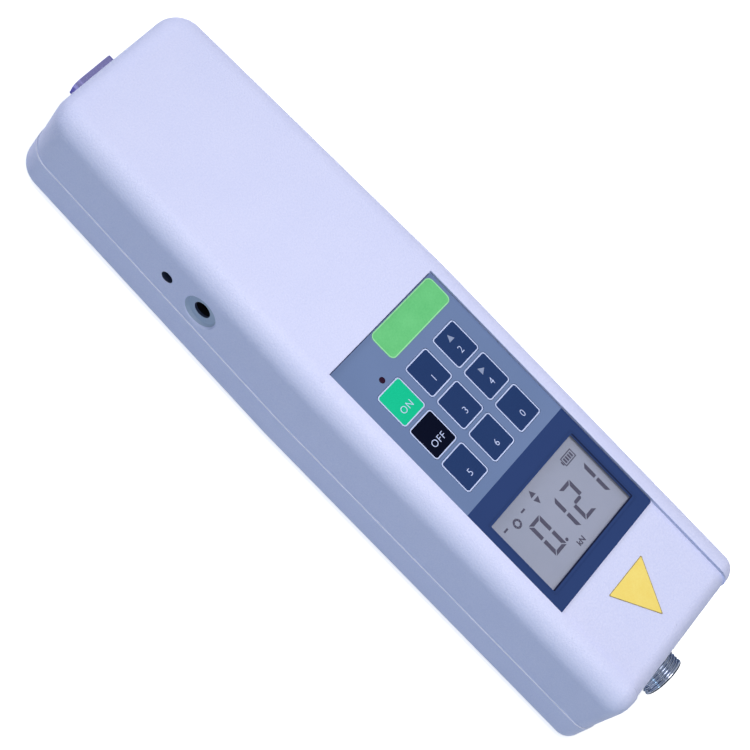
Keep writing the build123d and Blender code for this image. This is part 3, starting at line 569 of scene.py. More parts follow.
def place_piece(name: str, mesh: bpy.types.Mesh, slot: str, body: str = CASE_BODY,
                stands_for: Iterable[str] = (), smooth_deg: float = 35.0) -> bpy.types.Object:
    """Puts a finished mesh into the scene as a piece of the gauge.

    Args:
        name: The piece's name.
        mesh: Its mesh, in the gauge's frame.
        slot: The record's slot that its finish belongs to. Not used.
        body: The CAD body that it moves with.
        stands_for: CAD nodes that it replaces.
        smooth_deg: Edges sharper than this stay sharp.

    Returns:
        The new object.
    """
    mesh.name = name
    mesh.shade_smooth()
    mesh.set_sharp_from_angle(angle=math.radians(smooth_deg))
    piece = link(name, mesh)
    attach(piece, body)
    if stands_for:
        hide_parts(*stands_for)
    log.info("%s: %d faces, moves with %s", name, len(mesh.polygons), body)
    return piece


def plain_mesh(built: bmesh.types.BMesh, name: str,
               materials: Sequence[bpy.types.Material]) -> bpy.types.Mesh:
    """Ends a mesh that was built by hand.

    Args:
        built: The mesh under construction, which is freed.
        name: Its name.
        materials: Its materials.

    Returns:
        The mesh.
    """
    mesh = bpy.data.meshes.new(name)
    built.to_mesh(mesh)
    built.free()
    for material in materials:
        mesh.materials.append(material)
    return mesh


def loft(rings: Sequence[Sequence[Vector]], bands: Sequence[int], materials: Sequence[bpy.types.Material],
         start_cap: Optional[int] = 0, end_cap: Optional[int] = 0) -> bpy.types.Mesh:
    """Joins rings of equally many points into one skin.

    Args:
        rings: The rings in order. Each runs anticlockwise seen from the end that the rings go to.
        bands: The material number of each band between two rings.
        materials: The materials.
        start_cap: The material number of the face on the first ring, or None for no face.
        end_cap: The same for the last ring.

    Returns:
        The mesh, with its faces outwards.
    """
    built = bmesh.new()
    made = [[built.verts.new(point) for point in ring] for ring in rings]
    for lower, upper, number in zip(made, made[1:], bands):
        for index in range(len(lower)):
            following = (index + 1) % len(lower)
            built.faces.new((lower[index], lower[following], upper[following],
                             upper[index])).material_index = number
    if start_cap is not None:
        built.faces.new(list(reversed(made[0]))).material_index = start_cap
    if end_cap is not None:
        built.faces.new(made[-1]).material_index = end_cap
    return plain_mesh(built, "loft", materials)


def prisms(outlines: Iterable[Outline], low: float, high: float,
           material: bpy.types.Material) -> bpy.types.Mesh:
    """Stands flat outlines up as closed prisms in one mesh.

    Args:
        outlines: Anticlockwise outlines.
        low: The height of their undersides.
        high: The height of their faces.
        material: Their material.

    Returns:
        The mesh.
    """
    built = bmesh.new()
    for outline in outlines:
        base = [built.verts.new((x, y, low)) for x, y in outline]
        top = [built.verts.new((x, y, high)) for x, y in outline]
        built.faces.new(list(reversed(base)))
        built.faces.new(top)
        for index in range(len(base)):
            following = (index + 1) % len(base)
            built.faces.new((base[index], base[following], top[following], top[index]))
    bmesh.ops.recalc_face_normals(built, faces=built.faces)
    return plain_mesh(built, "prisms", [material])


def merge(meshes: Sequence[bpy.types.Mesh], weld: float = 0.0) -> bpy.types.Mesh:
    """Joins meshes that share their list of materials.

    Args:
        meshes: The meshes.
        weld: Points nearer than this become one.

    Returns:
        The first mesh, with all of them in it.
    """
    built = bmesh.new()
    for mesh in meshes:
        built.from_mesh(mesh)
    if weld:
        bmesh.ops.remove_doubles(built, verts=built.verts, dist=weld)
        bmesh.ops.recalc_face_normals(built, faces=built.faces)
    built.to_mesh(meshes[0])
    built.free()
    return meshes[0]


def evaluated_mesh(holder: bpy.types.Object) -> bpy.types.Mesh:
    """The plain mesh of an object as Blender works it out.

    Args:
        holder: The object, whose modifiers' inputs are set.

    Returns:
        Its mesh.
    """
    bpy.context.view_layer.update()
    return bpy.data.meshes.new_from_object(holder.evaluated_get(bpy.context.evaluated_depsgraph_get()))


@dataclass(frozen=True)
class Lettering:
    """Plain raised lettering: its height, its strokes and its spacing, in the font's units."""

    height: float
    weight: float = 0.0
    spacing: float = 1.0
    half_depth: float = 0.5
    curve_steps: int = 4
    weld: float = 1e-7

    def mesh(self, text: str, centre: Vector, low: float, high: float,
             material: bpy.types.Material) -> bpy.types.Mesh:
        """Makes one line as a thin mesh.

        Args:
            text: The numbers or words.
            centre: The middle of the line.
            low: The height of its underside.
            high: The height of its face.
            material: Its material.

        Returns:
            The mesh, in the gauge's frame.
        """
        curve = bpy.data.curves.new("lettering", "FONT")
        curve.body = text
        curve.offset = self.weight
        curve.space_character = self.spacing
        curve.extrude = self.half_depth
        curve.resolution_u = self.curve_steps
        holder = link("lettering", curve)
        mesh = evaluated_mesh(holder)
        bpy.data.objects.remove(holder)
        xs, ys = [v.co.x for v in mesh.vertices], [v.co.y for v in mesh.vertices]
        scale = self.height / (max(ys) - min(ys))
        middle = Vector(((min(xs) + max(xs)) / 2, (min(ys) + max(ys)) / 2, 0))
        mesh.transform(Matrix.Translation(-middle))
        mesh.transform(Matrix.Diagonal((scale, scale, high - low, 1)))
        mesh.transform(Matrix.Translation((centre.x, centre.y, (low + high) / 2)))
        mesh.materials.clear()
        mesh.materials.append(material)
        return merge([mesh], weld=self.weld)


class Grower:
    """Runs a Geometry Nodes tree and keeps its result as a plain mesh."""

    def __init__(self, name: str, sizes: dict[str, float], vectors: Optional[dict] = None,
                 counts: Optional[dict[str, int]] = None) -> None:
        """Starts the tree with its named inputs.

        Args:
            name: The tree's name.
            sizes: Lengths in metres, by name.
            vectors: Places and turns, by name.
            counts: Whole numbers, by name.
        """
        self.tree = bpy.data.node_groups.new(name, "GeometryNodeTree")
        self.values = {**sizes, **(vectors or {}), **(counts or {})}
        face = self.tree.interface
        face.new_socket("Points", in_out="INPUT", socket_type="NodeSocketGeometry")
        for group, kind in ((sizes, "Float"), (vectors or {}, "Vector"), (counts or {}, "Int")):
            for key in group:
                face.new_socket(key, in_out="INPUT", socket_type=f"NodeSocket{kind}")
        face.new_socket("Finish", in_out="INPUT", socket_type="NodeSocketMaterial")
        face.new_socket("Mesh", in_out="OUTPUT", socket_type="NodeSocketGeometry")
        self.inputs = add(self.tree, "NodeGroupInput").outputs

    def node(self, kind: str, inputs: Optional[dict] = None, **settings: object) -> bpy.types.Node:
        """Adds a node to this tree."""
        return add(self.tree, kind, inputs, **settings)

    def out(self, kind: str, *values: object, **settings: object) -> bpy.types.NodeSocket:
        """Adds a node fed with values in its inputs' order, and gives its first output."""
        return self.node(kind, dict(enumerate(values)), **settings).outputs[0]

    def finish(self, result: bpy.types.NodeSocket, material: bpy.types.Material,
               points: Sequence[Vector] = ()) -> bpy.types.Mesh:
        """Ends the tree, runs it once and takes its modifier off again.

        Args:
            result: The geometry to keep.
            material: Its material.
            points: Where instances stand, if the tree puts any.

        Returns:
            The plain mesh.
        """
        real = self.node("GeometryNodeRealizeInstances", {0: result}).outputs[0]
        dressed = self.node("GeometryNodeSetMaterial", {"Geometry": real, "Material": self.inputs["Finish"]})
        add(self.tree, "NodeGroupOutput", {0: dressed.outputs[0]})
        base = bpy.data.meshes.new("points")
        base.from_pydata([tuple(point) for point in points], [], [])
        holder = link("grower", base)
        modifier = holder.modifiers.new("tree", "NODES")
        modifier.node_group = self.tree
        for item in self.tree.interface.items_tree:
            if item.in_out == "INPUT" and item.name in self.values:
                modifier[item.identifier] = self.values[item.name]
            elif item.in_out == "INPUT" and item.name == "Finish":
                modifier[item.identifier] = material
        mesh = evaluated_mesh(holder)
        holder.modifiers.remove(modifier)
        bpy.data.objects.remove(holder)
        return mesh


def turned(profile: Sequence[tuple[float, float]], centre: Vector, count: int,
           material: bpy.types.Material) -> bpy.types.Mesh:
    """Turns a profile about a line along Y.

    Args:
        profile: Radius, and place along Y, of each ring in order.
        centre: A point on the line.
        count: Points in each ring.
        material: The material.

    Returns:
        The open skin between the first and the last ring.
    """
    rings = []
    for radius, along in profile:
        turns = [2 * math.pi * index / count for index in range(count)]
        rings.append([Vector((centre.x + radius * math.cos(turn), along, centre.z + radius * math.sin(turn)))
                      for turn in turns])
    return loft(rings, [0] * (len(rings) - 1), [material], None, None)


@dataclass(frozen=True)
class CrossHeadScrew:
    """One kind of cross-head screw. Unturned, its head looks down and its shank goes up."""

    head_radius: float
    head_height: float
    slot_width: float
    length: float
    neck_radius: Optional[float] = None     # what a countersunk head narrows to, or None for a cheese head
    turn: tuple[float, float, float] = (0.0, 0.0, 0.0)
    shank_share: float = 0.54
    slot_reach: float = 1.24
    slot_depth: float = 0.5
    shank_start: float = 0.6                # how far up the head the shank begins, by the head's height
    sides: int = 40

    def grow(self, points: Sequence[Vector], material: bpy.types.Material) -> bpy.types.Mesh:
        """Puts one such screw on each point, by Geometry Nodes.

        Args:
            points: Where the outer faces of the heads stand.
            material: The material.

        Returns:
            One mesh with every screw.
        """
        cheese = self.neck_radius is None
        grower = Grower("cross_head_screw", {
            "Head Radius": self.head_radius,
            "Neck Radius": self.head_radius if cheese else self.neck_radius,
            "Head Height": self.head_height,
            "Shank Radius": self.head_radius * self.shank_share if cheese else self.neck_radius,
            "Length": self.length - self.head_height * self.shank_start,
            "Slot Width": self.slot_width, "Slot Reach": self.head_radius * self.slot_reach,
            "Slot Depth": self.head_height * self.slot_depth},
            {"Turn": self.turn}, {"Sides": self.sides})
        size, calculate = grower.inputs, "ShaderNodeMath"
        head = grower.node("GeometryNodeMeshCone", {
            "Vertices": size["Sides"], "Radius Top": size["Neck Radius"],
            "Radius Bottom": size["Head Radius"], "Depth": size["Head Height"]}).outputs[0]
        shank = grower.node("GeometryNodeMeshCylinder", {
            "Vertices": size["Sides"], "Radius": size["Shank Radius"], "Depth": size["Length"]}).outputs[0]
        half_shank = grower.out(calculate, size["Length"], 0.5, operation="MULTIPLY")
        overlap = grower.out(calculate, size["Head Height"], self.shank_start, operation="MULTIPLY")
        rise = grower.out("ShaderNodeCombineXYZ", 0.0, 0.0,
                          grower.out(calculate, half_shank, overlap, operation="ADD"))
        shank_up = grower.node("GeometryNodeTransform", {"Geometry": shank, "Translation": rise}).outputs[0]
        deep = grower.out(calculate, size["Slot Depth"], 2.0, operation="MULTIPLY")
        bars = [grower.out("GeometryNodeMeshCube", grower.out("ShaderNodeCombineXYZ", first, second, deep))
                for first, second in ((size["Slot Reach"], size["Slot Width"]),
                                      (size["Slot Width"], size["Slot Reach"]))]
        cut = grower.out("GeometryNodeMeshBoolean", head, bars, operation="DIFFERENCE")
        whole = grower.out("GeometryNodeJoinGeometry", [cut, shank_up])
        stood = grower.node("GeometryNodeInstanceOnPoints", {
            "Points": size["Points"], "Instance": whole, "Rotation": size["Turn"]})
        return grower.finish(stood.outputs[0], material, points)


@dataclass(frozen=True)
class ContactPin:
    """One kind of round contact pin along Y, with a tapered tip."""

    radius: float
    tip: float
    along: float                # 1 if the tips look along +Y, and -1 if they look along -Y
    tip_share: float = 0.45
    sides: int = 24
    weld: float = 1e-6

    def grow(self, points: Sequence[Vector], whole_length: float,
             material: bpy.types.Material) -> bpy.types.Mesh:
        """Puts one such pin on each point, by Geometry Nodes.

        Args:
            points: Where the pins' tips are.
            whole_length: Their length with the tip.
            material: Their material.

        Returns:
            One mesh with every pin.
        """
        grower = Grower("round_pin", {
            "Radius": self.radius, "Length": whole_length - self.tip, "Tip": self.tip},
            {"Turn": (self.along * math.pi / 2, 0.0, 0.0)}, {"Sides": self.sides})
        size, calculate = grower.inputs, "ShaderNodeMath"
        body = grower.node("GeometryNodeMeshCylinder", {
            "Vertices": size["Sides"], "Radius": size["Radius"], "Depth": size["Length"]}).outputs[0]
        cone = grower.node("GeometryNodeMeshCone", {
            "Vertices": size["Sides"],
            "Radius Top": grower.out(calculate, size["Radius"], self.tip_share, operation="MULTIPLY"),
            "Radius Bottom": size["Radius"], "Depth": size["Tip"]}).outputs[0]
        half = grower.out(calculate, size["Length"], 0.5, operation="MULTIPLY")
        rise = grower.out("ShaderNodeCombineXYZ", 0.0, 0.0,
                          grower.out(calculate, half, size["Tip"], operation="ADD"))
        flipped = grower.node("GeometryNodeTransform", {
            "Geometry": cone, "Rotation": (math.pi, 0.0, 0.0),
            "Translation": grower.out("ShaderNodeCombineXYZ", 0.0, 0.0, size["Tip"])}).outputs[0]
        raised = grower.node("GeometryNodeTransform", {"Geometry": body, "Translation": rise}).outputs[0]
        both = grower.out("GeometryNodeJoinGeometry", [flipped, raised])
        whole = grower.node("GeometryNodeMergeByDistance", {"Geometry": both, "Distance": self.weld})
        stood = grower.node("GeometryNodeInstanceOnPoints", {
            "Points": size["Points"], "Instance": whole.outputs[0], "Rotation": size["Turn"]})
        return grower.finish(stood.outputs[0], material, points)


def cylinder_places(node: str, weld: float = 1e-6) -> list[tuple[Point, float]]:
    """The centres and radii of the upright round solids in a CAD node, from its loose triangles.

    Args:
        node: The node's name.
        weld: Points nearer than this are one.

    Returns:
        Each one's centre and radius, in order along X.
    """
    mesh = frame["nodes"][node].data
    built = bmesh.new()
    built.from_mesh(mesh)
    bmesh.ops.remove_doubles(built, verts=built.verts, dist=weld)
    seen, places = set(), []
    for start in built.verts:
        if start in seen:
            continue
        group, frontier = {start}, [start]
        while frontier:
            for edge in frontier.pop().link_edges:
                for vert in edge.verts:
                    if vert not in group:
                        group.add(vert)
                        frontier.append(vert)
        seen |= group
        xs, ys = [v.co.x for v in group], [v.co.y for v in group]
        places.append((((min(xs) + max(xs)) / 2, (min(ys) + max(ys)) / 2), (max(xs) - min(xs)) / 2))
    built.free()
    return sorted(places)


@dataclass
class Case:
    """The two covers and the screws in the back."""

    finishes: Finishes
    screw_head: float = 1.68 * MM
    screw_rounding: float = 0.22 * MM
    rounding_steps: int = 2
    slot_width: float = 1.0 * MM
    ledge: float = 0.3 * MM             # how far the front cover's walls stand back at the seam
    groove: float = 0.35 * MM           # height of the cover's foot in the seam, which stays where it is
    look_level: float = 3.0             # where the walls are looked at, above the seam, by the groove
    wall_depth: float = 1.6 * MM
    wall_rise: float = 14.0 * MM        # height over which the walls lean back to that
    sharp_deg: float = 30.0

    def build(self) -> None:
        """Dresses the covers and makes the screws."""
        self.open_ledge()
        self.make_screws()

    def open_ledge(self) -> None:
        """The front cover, its outer walls leaning in to the seam, so the rear cover's edge catches light."""
        mesh = frame["nodes"]["front_cover"].data.copy()
        skin = CoverSkin()
        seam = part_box("front_cover")[0].z
        level = seam + self.look_level * self.groove
        for vert in mesh.vertices:
            lean = max(0.0, 1 - (vert.co.z - seam) / self.wall_rise) * self.ledge
            if lean and vert.co.z > seam + self.groove:
                vert.co -= lean * skin.outwards(vert.co, level, self.wall_depth)
        mesh.materials.clear()
        mesh.materials.append(self.finishes["case_plastic"])
        place_piece("front_cover_dressed", mesh, "case_plastic", stands_for=["front_cover"],
                    smooth_deg=self.sharp_deg)

    def make_screws(self) -> None:
        """Six cross-head screws in their counterbores, as one mesh."""
        low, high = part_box("case_screws")
        heads = cylinder_places("case_screws")
        _, head_radius = heads[0]
        points = [Vector((x, y, low.z)) for (x, y), _ in heads]
        kind = CrossHeadScrew(head_radius, self.screw_head, self.slot_width, high.z - low.z)
        mesh = kind.grow(points, self.finishes["zinc_steel"])
        screws = place_piece("case_screws_dressed", mesh, "zinc_steel", stands_for=["case_screws"])
        rounding = screws.modifiers.new("rounding", "BEVEL")
        rounding.width = self.screw_rounding
        rounding.segments = self.rounding_steps


@dataclass
class MembraneKey:
    """One printed square of the film, with its outline, legend, arrow and stub."""

    name: str
    slot: str
    finishes: Finishes
    legend: str = ""
    arrow_deg: Optional[float] = None       # where the arrow points, anticlockwise from +X
    edge_rounding: float = 0.08 * MM
    outline_width: float = 0.45 * MM
    corner: float = 1.2 * MM
    least_corner: float = 0.25 * MM
    crown: float = 0.10 * MM
    crown_steps: int = 5
    crown_reach: float = 0.9                # share of the way to the middle at which the crown is flat
    crown_power: int = 3                    # the higher, the sooner the crown levels out
    stub_radius: float = 2.5 * MM
    lettering: Lettering = Lettering(2.15 * MM, weight=-0.008, spacing=1.12)
    legend_drop: float = 2.0 * MM
    arrow_rise: float = 2.2 * MM
    arrow_radius: float = 2.6 / 1.9 * MM
    ink: float = 0.02 * MM

    def build(self) -> None:
        """Makes the key and what is printed on it."""
        node, body = f"key_{self.name}", f"{self.name}_key"
        centre, _ = centre_and_size(node)
        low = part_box(node)[1].z
        high = low + self.crown + self.ink
        place_piece(f"{node}_pad", self.pad(node), self.slot, body, [node])
        if self.arrow_deg is not None:
            turn = math.radians(self.arrow_deg)
            tips = [(centre.x + self.arrow_radius * math.cos(turn + math.tau * corner / 3),
                     centre.y + self.arrow_rise + self.arrow_radius * math.sin(turn + math.tau * corner / 3))
                    for corner in range(3)]
            place_piece(f"{node}_arrow", prisms([tips], low, high, self.finishes["dim_ink"]), self.slot, body)
        if self.legend:
            mesh = self.lettering.mesh(self.legend, centre - Vector((0, self.legend_drop, 0)), low, high,
                                       self.finishes["pale_ink"])
            place_piece(f"{node}_legend", mesh, self.slot, body)

    def pad(self, node: str) -> bpy.types.Mesh:
        """The square of film: a round stub, rounded edges, a printed outline and a slight crown.

        Args:
            node: The CAD node that it stands for.

        Returns:
            The mesh.
        """
        centre, size = centre_and_size(node)
        low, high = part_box(node)
        film_low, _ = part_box("keypad_overlay")
        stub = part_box(f"switch_stem_{self.name}")[1].z

        def square(inset: float, height: float) -> list[Vector]:
            """A ring of the key's outline, drawn in by an inset."""
            return to_ring(rounded_rectangle(size.x - 2 * inset, size.y - 2 * inset,
                                             max(self.corner - inset, self.least_corner)), centre, height)

        outer = rounded_rectangle(size.x, size.y, self.corner)
        circle = [(self.stub_radius * x / math.hypot(x, y), self.stub_radius * y / math.hypot(x, y))
                  for x, y in outer]
        rings = [to_ring(circle, centre, max(low.z, stub)), to_ring(circle, centre, film_low.z),
                 square(0, film_low.z), square(0, high.z - self.edge_rounding),
                 square(self.edge_rounding, high.z), square(self.outline_width, high.z)]
        face, outline, film = 0, 1, 2
        bands = [film] * 4 + [outline]
        inner = min(size.x, size.y) / 2 - self.outline_width
        for step in range(1, self.crown_steps):
            share = step / self.crown_steps
            rings.append(square(self.outline_width + inner * share * self.crown_reach,
                                high.z + self.crown * (1 - (1 - share) ** self.crown_power)))
            bands.append(face)
        return loft(rings, bands, [self.finishes[self.slot], self.finishes["pale_ink"],
                                   self.finishes["overlay_film"]], film, face)


@dataclass
class Keypad:
    """The nine keys, with what each carries."""

    finishes: Finishes
    legends: dict[str, str] = field(default_factory=lambda: {
        "on": "ON", "off": "OFF", "set": "1", "send": "2", "unit": "3", "store": "4", "data": "5",
        "peak": "6", "zero": "0"})
    arrows: dict[str, float] = field(default_factory=lambda: {"send": 90.0, "store": 0.0})
    slots: dict[str, str] = field(default_factory=lambda: {"on": "key_green", "off": "key_black"})

    def build(self) -> None:
        """Makes every key."""
        for name in KEYS:
            MembraneKey(name, self.slots.get(name, "key_navy"), self.finishes, self.legends[name],
                        self.arrows.get(name)).build()


class Segment(Enum):
    """The seven bars of a digit, by where they lie."""

    TOP = "a"
    UPPER_RIGHT = "b"
    LOWER_RIGHT = "c"
    BOTTOM = "d"
    LOWER_LEFT = "e"
    UPPER_LEFT = "f"
    MIDDLE = "g"


# The bars that are dark in each digit of the reading.
LIT: dict[str, str] = {"0": "abcdef", "1": "bc", "2": "abdeg"}


@dataclass
class DisplayMarks:
    """The dark marks on the glass. Places are from the middle of the glass."""

    reading: str = "0121"
    digit_width: float = 5.6 * MM
    digit_height: float = 11.5 * MM
    digit_pitch: float = 8.0 * MM
    upright_stroke: float = 1.35 * MM
    flat_stroke: float = 1.1 * MM
    gap: float = 0.22 * MM
    middle_gap: float = 0.4 * MM
    first_right: float = -5.95 * MM
    digits_low: float = -7.0 * MM
    slant: float = 1.4                      # the uprights' slanted ends, by the gap
    point_place: Point = (-5.0 * MM, -6.2 * MM)
    point_radius: float = 0.55 * MM
    point_sides: int = 16
    tips: tuple[tuple[float, float, float], ...] = ((-2.8 * MM, 9.8 * MM, 90.0), (-2.8 * MM, 7.6 * MM, 270.0))
    tip_radius: float = 1.35 * MM
    rest_place: Point = (-13.4 * MM, 7.5 * MM)
    rest_radius: float = 1.6 * MM
    rest_line: float = 0.75 * MM
    rest_sides: int = 8
    rest_slit_deg: float = 1.5
    dash_reach: float = 4.4 * MM
    dash_rise: float = 1.2 * MM
    dash_size: WidthHeight = (1.8 * MM, 0.62 * MM)
    battery_place: Point = (15.25 * MM, 8.8 * MM)
    battery_size: WidthHeight = (5.2 * MM, 2.9 * MM)
    battery_line: float = 0.34 * MM
    battery_slit: float = 0.02 * MM
    nub_size: WidthHeight = (0.5 * MM, 1.3 * MM)
    nub_gap: float = 0.35 * MM
    cell_size: WidthHeight = (0.7 * MM, 1.6 * MM)
    cell_pitch: float = 1.02 * MM
    cell_count: int = 4

    def segment(self, which: Segment) -> Outline:
        """The outline of one bar in a digit's cell, from the cell's lower left corner.

        Args:
            which: The bar.

        Returns:
            Its corners, anticlockwise.
        """
        w, h, g = self.digit_width, self.digit_height, self.gap
        side, flat, middle = self.upright_stroke, self.flat_stroke, self.digit_height / 2
        if which is Segment.MIDDLE:
            left, right = side + g, w - side - g
            return [(left - side / 3, middle), (left, middle - flat / 2), (right, middle - flat / 2),
                    (right + side / 3, middle), (right, middle + flat / 2), (left, middle + flat / 2)]
        across = [(w - g, h), (g, h), (side + g / 2, h - flat), (w - side - g / 2, h - flat)]
        upright = [(0, h - g), (0, middle + self.middle_gap), (side, middle + self.middle_gap),
                   (side, h - flat - self.slant * g)]
        points = across if which in (Segment.TOP, Segment.BOTTOM) else upright
        flip_x = which in (Segment.UPPER_RIGHT, Segment.LOWER_RIGHT)
        flip_y = which in (Segment.BOTTOM, Segment.LOWER_LEFT, Segment.LOWER_RIGHT)
        points = [(w - x if flip_x else x, h - y if flip_y else y) for x, y in points]
        return list(reversed(points)) if flip_x != flip_y else points

    def outlines(self) -> list[Outline]:
        """Every dark shape on the glass.

        Returns:
            Their outlines.
        """
        shapes = []
        for place, digit in enumerate(self.reading):
            left = self.first_right + place * self.digit_pitch - self.digit_width
            for which in Segment:
                if which.value in LIT[digit]:
                    shapes.append([(left + x, self.digits_low + y) for x, y in self.segment(which)])
        shapes.append(self.regular(*self.point_place, self.point_radius, self.point_sides))
        shapes += self.rest_mark() + self.battery_mark()
        return shapes + [self.regular(x, y, self.tip_radius, 3, turn) for x, y, turn in self.tips]

    def regular(self, x: float, y: float, radius: float, count: int, turn_deg: float = 0.0) -> Outline:
        """A shape with equal sides about a point, a corner of it along the turn."""
        turns = [math.radians(turn_deg) + math.tau * i / count for i in range(count)]
        return [(x + radius * math.cos(turn), y + radius * math.sin(turn)) for turn in turns]

    def bar(self, x: float, y: float, width: float, height: float) -> Outline:
        """A rectangle about a point."""
        return [(x - width / 2, y - height / 2), (x + width / 2, y - height / 2),
                (x + width / 2, y + height / 2), (x - width / 2, y + height / 2)]

    def rest_mark(self) -> list[Outline]:
        """The stable-reading mark: a small eight-sided ring between two dashes.

        Returns:
            The outlines of its parts.
        """
        x, y = self.rest_place
        outer, inner = self.rest_radius, self.rest_radius - self.rest_line
        slit = math.radians(self.rest_slit_deg)
        shapes = []
        for step in range(self.rest_sides):
            start, end = (math.tau * (step + side + 0.5) / self.rest_sides for side in (0, 1))
            shapes.append([(x + radius * math.cos(turn), y + radius * math.sin(turn)) for radius, turn in (
                (outer, start + slit), (outer, end - slit), (inner, end - slit), (inner, start + slit))])
        return shapes + [self.bar(x + side * self.dash_reach, y + self.dash_rise, *self.dash_size)
                         for side in SIDES]

    def battery_mark(self) -> list[Outline]:
        """The battery mark: a case with a nub and four bars.

        Returns:
            The outlines of its parts.
        """
        x, y = self.battery_place
        (width, height), line = self.battery_size, self.battery_line
        inside = height - 2 * line - self.battery_slit
        return [*(self.bar(x, y + side * (height - line) / 2, width, line) for side in SIDES),
                *(self.bar(x + side * (width - line) / 2, y, line, inside) for side in SIDES),
                self.bar(x - width / 2 - self.nub_gap, y, *self.nub_size),
                *(self.bar(x + (step - (self.cell_count - 1) / 2) * self.cell_pitch, y, *self.cell_size)
                  for step in range(self.cell_count))]


@dataclass
class Display:
    """The glass's dark marks and the film over them."""

    finishes: Finishes
    mark_depth: float = 0.03 * MM
    unit: str = "kN"
    unit_place: Point = (-1.8 * MM, -9.6 * MM)
    unit_lettering: Lettering = Lettering(1.85 * MM, weight=0.03)
    border: float = 0.45 * MM           # print round the clear part
    print_right: float = 0.9 * MM       # further print on three of its sides
    print_top: float = 0.3 * MM
    print_bottom: float = 0.9 * MM
    overlap: float = 0.12 * MM
    outer_corner: float = 0.8 * MM
    clear_corner: float = 0.3 * MM
    shade_line: float = 0.45 * MM       # painted shade at the foot of the frame's lower and right sides
    shade_offset: float = 0.4 * MM

    def build(self) -> None:
        """Makes the marks and the film."""
        self.make_marks()
        self.make_film()

    def make_marks(self) -> None:
        """The reading, its unit and the small marks, on the glass."""
        centre, _ = centre_and_size("lcd_glass")
        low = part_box("lcd_glass")[1].z
        high = low + self.mark_depth
        dark = self.finishes["lcd_dark"]
        shapes = [[(centre.x + x, centre.y + y) for x, y in outline] for outline in DisplayMarks().outlines()]
        unit = self.unit_lettering.mesh(self.unit, centre + Vector((*self.unit_place, 0)), low, high, dark)
        place_piece("display_marks", merge([prisms(shapes, low, high, dark), unit]), "lcd")

    def make_film(self) -> None:
        """The clear film with its printed border and a band of painted shade, in place of the plain one."""
        centre, size = centre_and_size("display_window")
        low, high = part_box("display_window")

        def ring(height: float) -> list[Vector]:
            """The film's outline, a little over the edge of its opening."""
            return to_ring(rounded_rectangle(size.x + 2 * self.overlap, size.y + 2 * self.overlap,
                                             self.outer_corner), centre, height)

        def clear(height: float, right: float = 0.0, bottom: float = 0.0) -> list[Vector]:
            """The ring round the clear part, which the print narrows on three sides.

            Args:
                height: The ring's height.
                right: How much further right than the print's edge it reaches.
                bottom: How much further down.

            Returns:
                The ring.
            """
            width = size.x - 2 * self.border - self.print_right + right
            length = size.y - 2 * self.border - self.print_top - self.print_bottom + bottom
            shift = Vector((-(self.print_right - right) / 2,
                            (self.print_bottom - self.print_top - bottom) / 2, 0))
            return to_ring(rounded_rectangle(width, length, self.clear_corner), centre + shift, height)

        rings = [clear(low.z), ring(low.z), ring(high.z),
                 clear(high.z, self.shade_offset + self.shade_line, self.shade_line),
                 clear(high.z, self.shade_offset), clear(high.z)]
        # The band just inside the frame on the right and below is painted shade.
        navy, shade, film = 0, 1, 2
        mesh = loft(rings, [navy, navy, navy, shade, navy], [
            self.finishes["navy_ink"], self.finishes["painted_frame_shade"], self.finishes["window_film"]], film, film)
        place_piece("display_film", mesh, "window_film", stands_for=["display_window"])


@dataclass
class Labels:
    """The two bare vinyl stickers."""

    finishes: Finishes
    name_corner: float = 1.9 * MM
    name_rim: float = 0.4 * MM
    edge_rounding: float = 0.03 * MM
    marker_blunt: float = 0.35 * MM
    marker_line: float = 0.22 * MM

    def build(self) -> None:
        """Makes both stickers."""
        self.make_name_place()
        self.make_marker()

    def make_name_place(self) -> None:
        """The rounded green sticker above the keys, with a lighter rim."""
        centre, size = centre_and_size("name_sticker")
        low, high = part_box("name_sticker")

        def ring(inset: float, height: float) -> list[Vector]:
            """A ring of the sticker's outline, drawn in by an inset."""
            return to_ring(rounded_rectangle(size.x - 2 * inset, size.y - 2 * inset,
                                             self.name_corner - inset), centre, height)

        rings = [ring(0, low.z), ring(0, high.z - self.edge_rounding), ring(self.edge_rounding, high.z),
                 ring(self.name_rim, high.z)]
        face, rim = 0, 1
        mesh = loft(rings, [rim, rim, rim], [self.finishes["sticker_green"],
                                             self.finishes["sticker_green_rim"]], rim, face)
        place_piece("name_place_sticker", mesh, "sticker_green", stands_for=["name_sticker"])

    def make_marker(self) -> None:
        """The yellow triangle, with a fine darker edge."""
        low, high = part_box("marker_sticker")
        width, tall = high.x - low.x, high.y - low.y
        middle = Vector(((low.x + high.x) / 2, high.y - tall / 3, 0))
        corners = [Vector((width / 2, tall / 3, 0)), Vector((-width / 2, tall / 3, 0)),
                   Vector((0, -2 * tall / 3, 0))]

        def ring(inset: float, height: float) -> list[Vector]:
            """A ring of the triangle with blunted corners.

            Args:
                inset: How far it is drawn in.
                height: Its height.

            Returns:
                The ring.
            """
            points = []
            shrink = 1 - inset / (tall / 3)
            for index, corner in enumerate(corners):
                for other in (corners[index - 1], corners[(index + 1) % 3]):
                    blunted = corner + (other - corner).normalized() * self.marker_blunt
                    points.append(middle + shrink * blunted)
            return [Vector((point.x, point.y, height)) for point in points]

        rings = [ring(0, low.z), ring(0, high.z), ring(self.marker_line, high.z)]
        face, edge = 0, 1
        mesh = loft(rings, [edge, edge], [self.finishes["sticker_yellow"],
                                          self.finishes["sticker_edge"]], edge, face)
        place_piece("marker_triangle", mesh, "sticker_yellow", stands_for=["marker_sticker"])


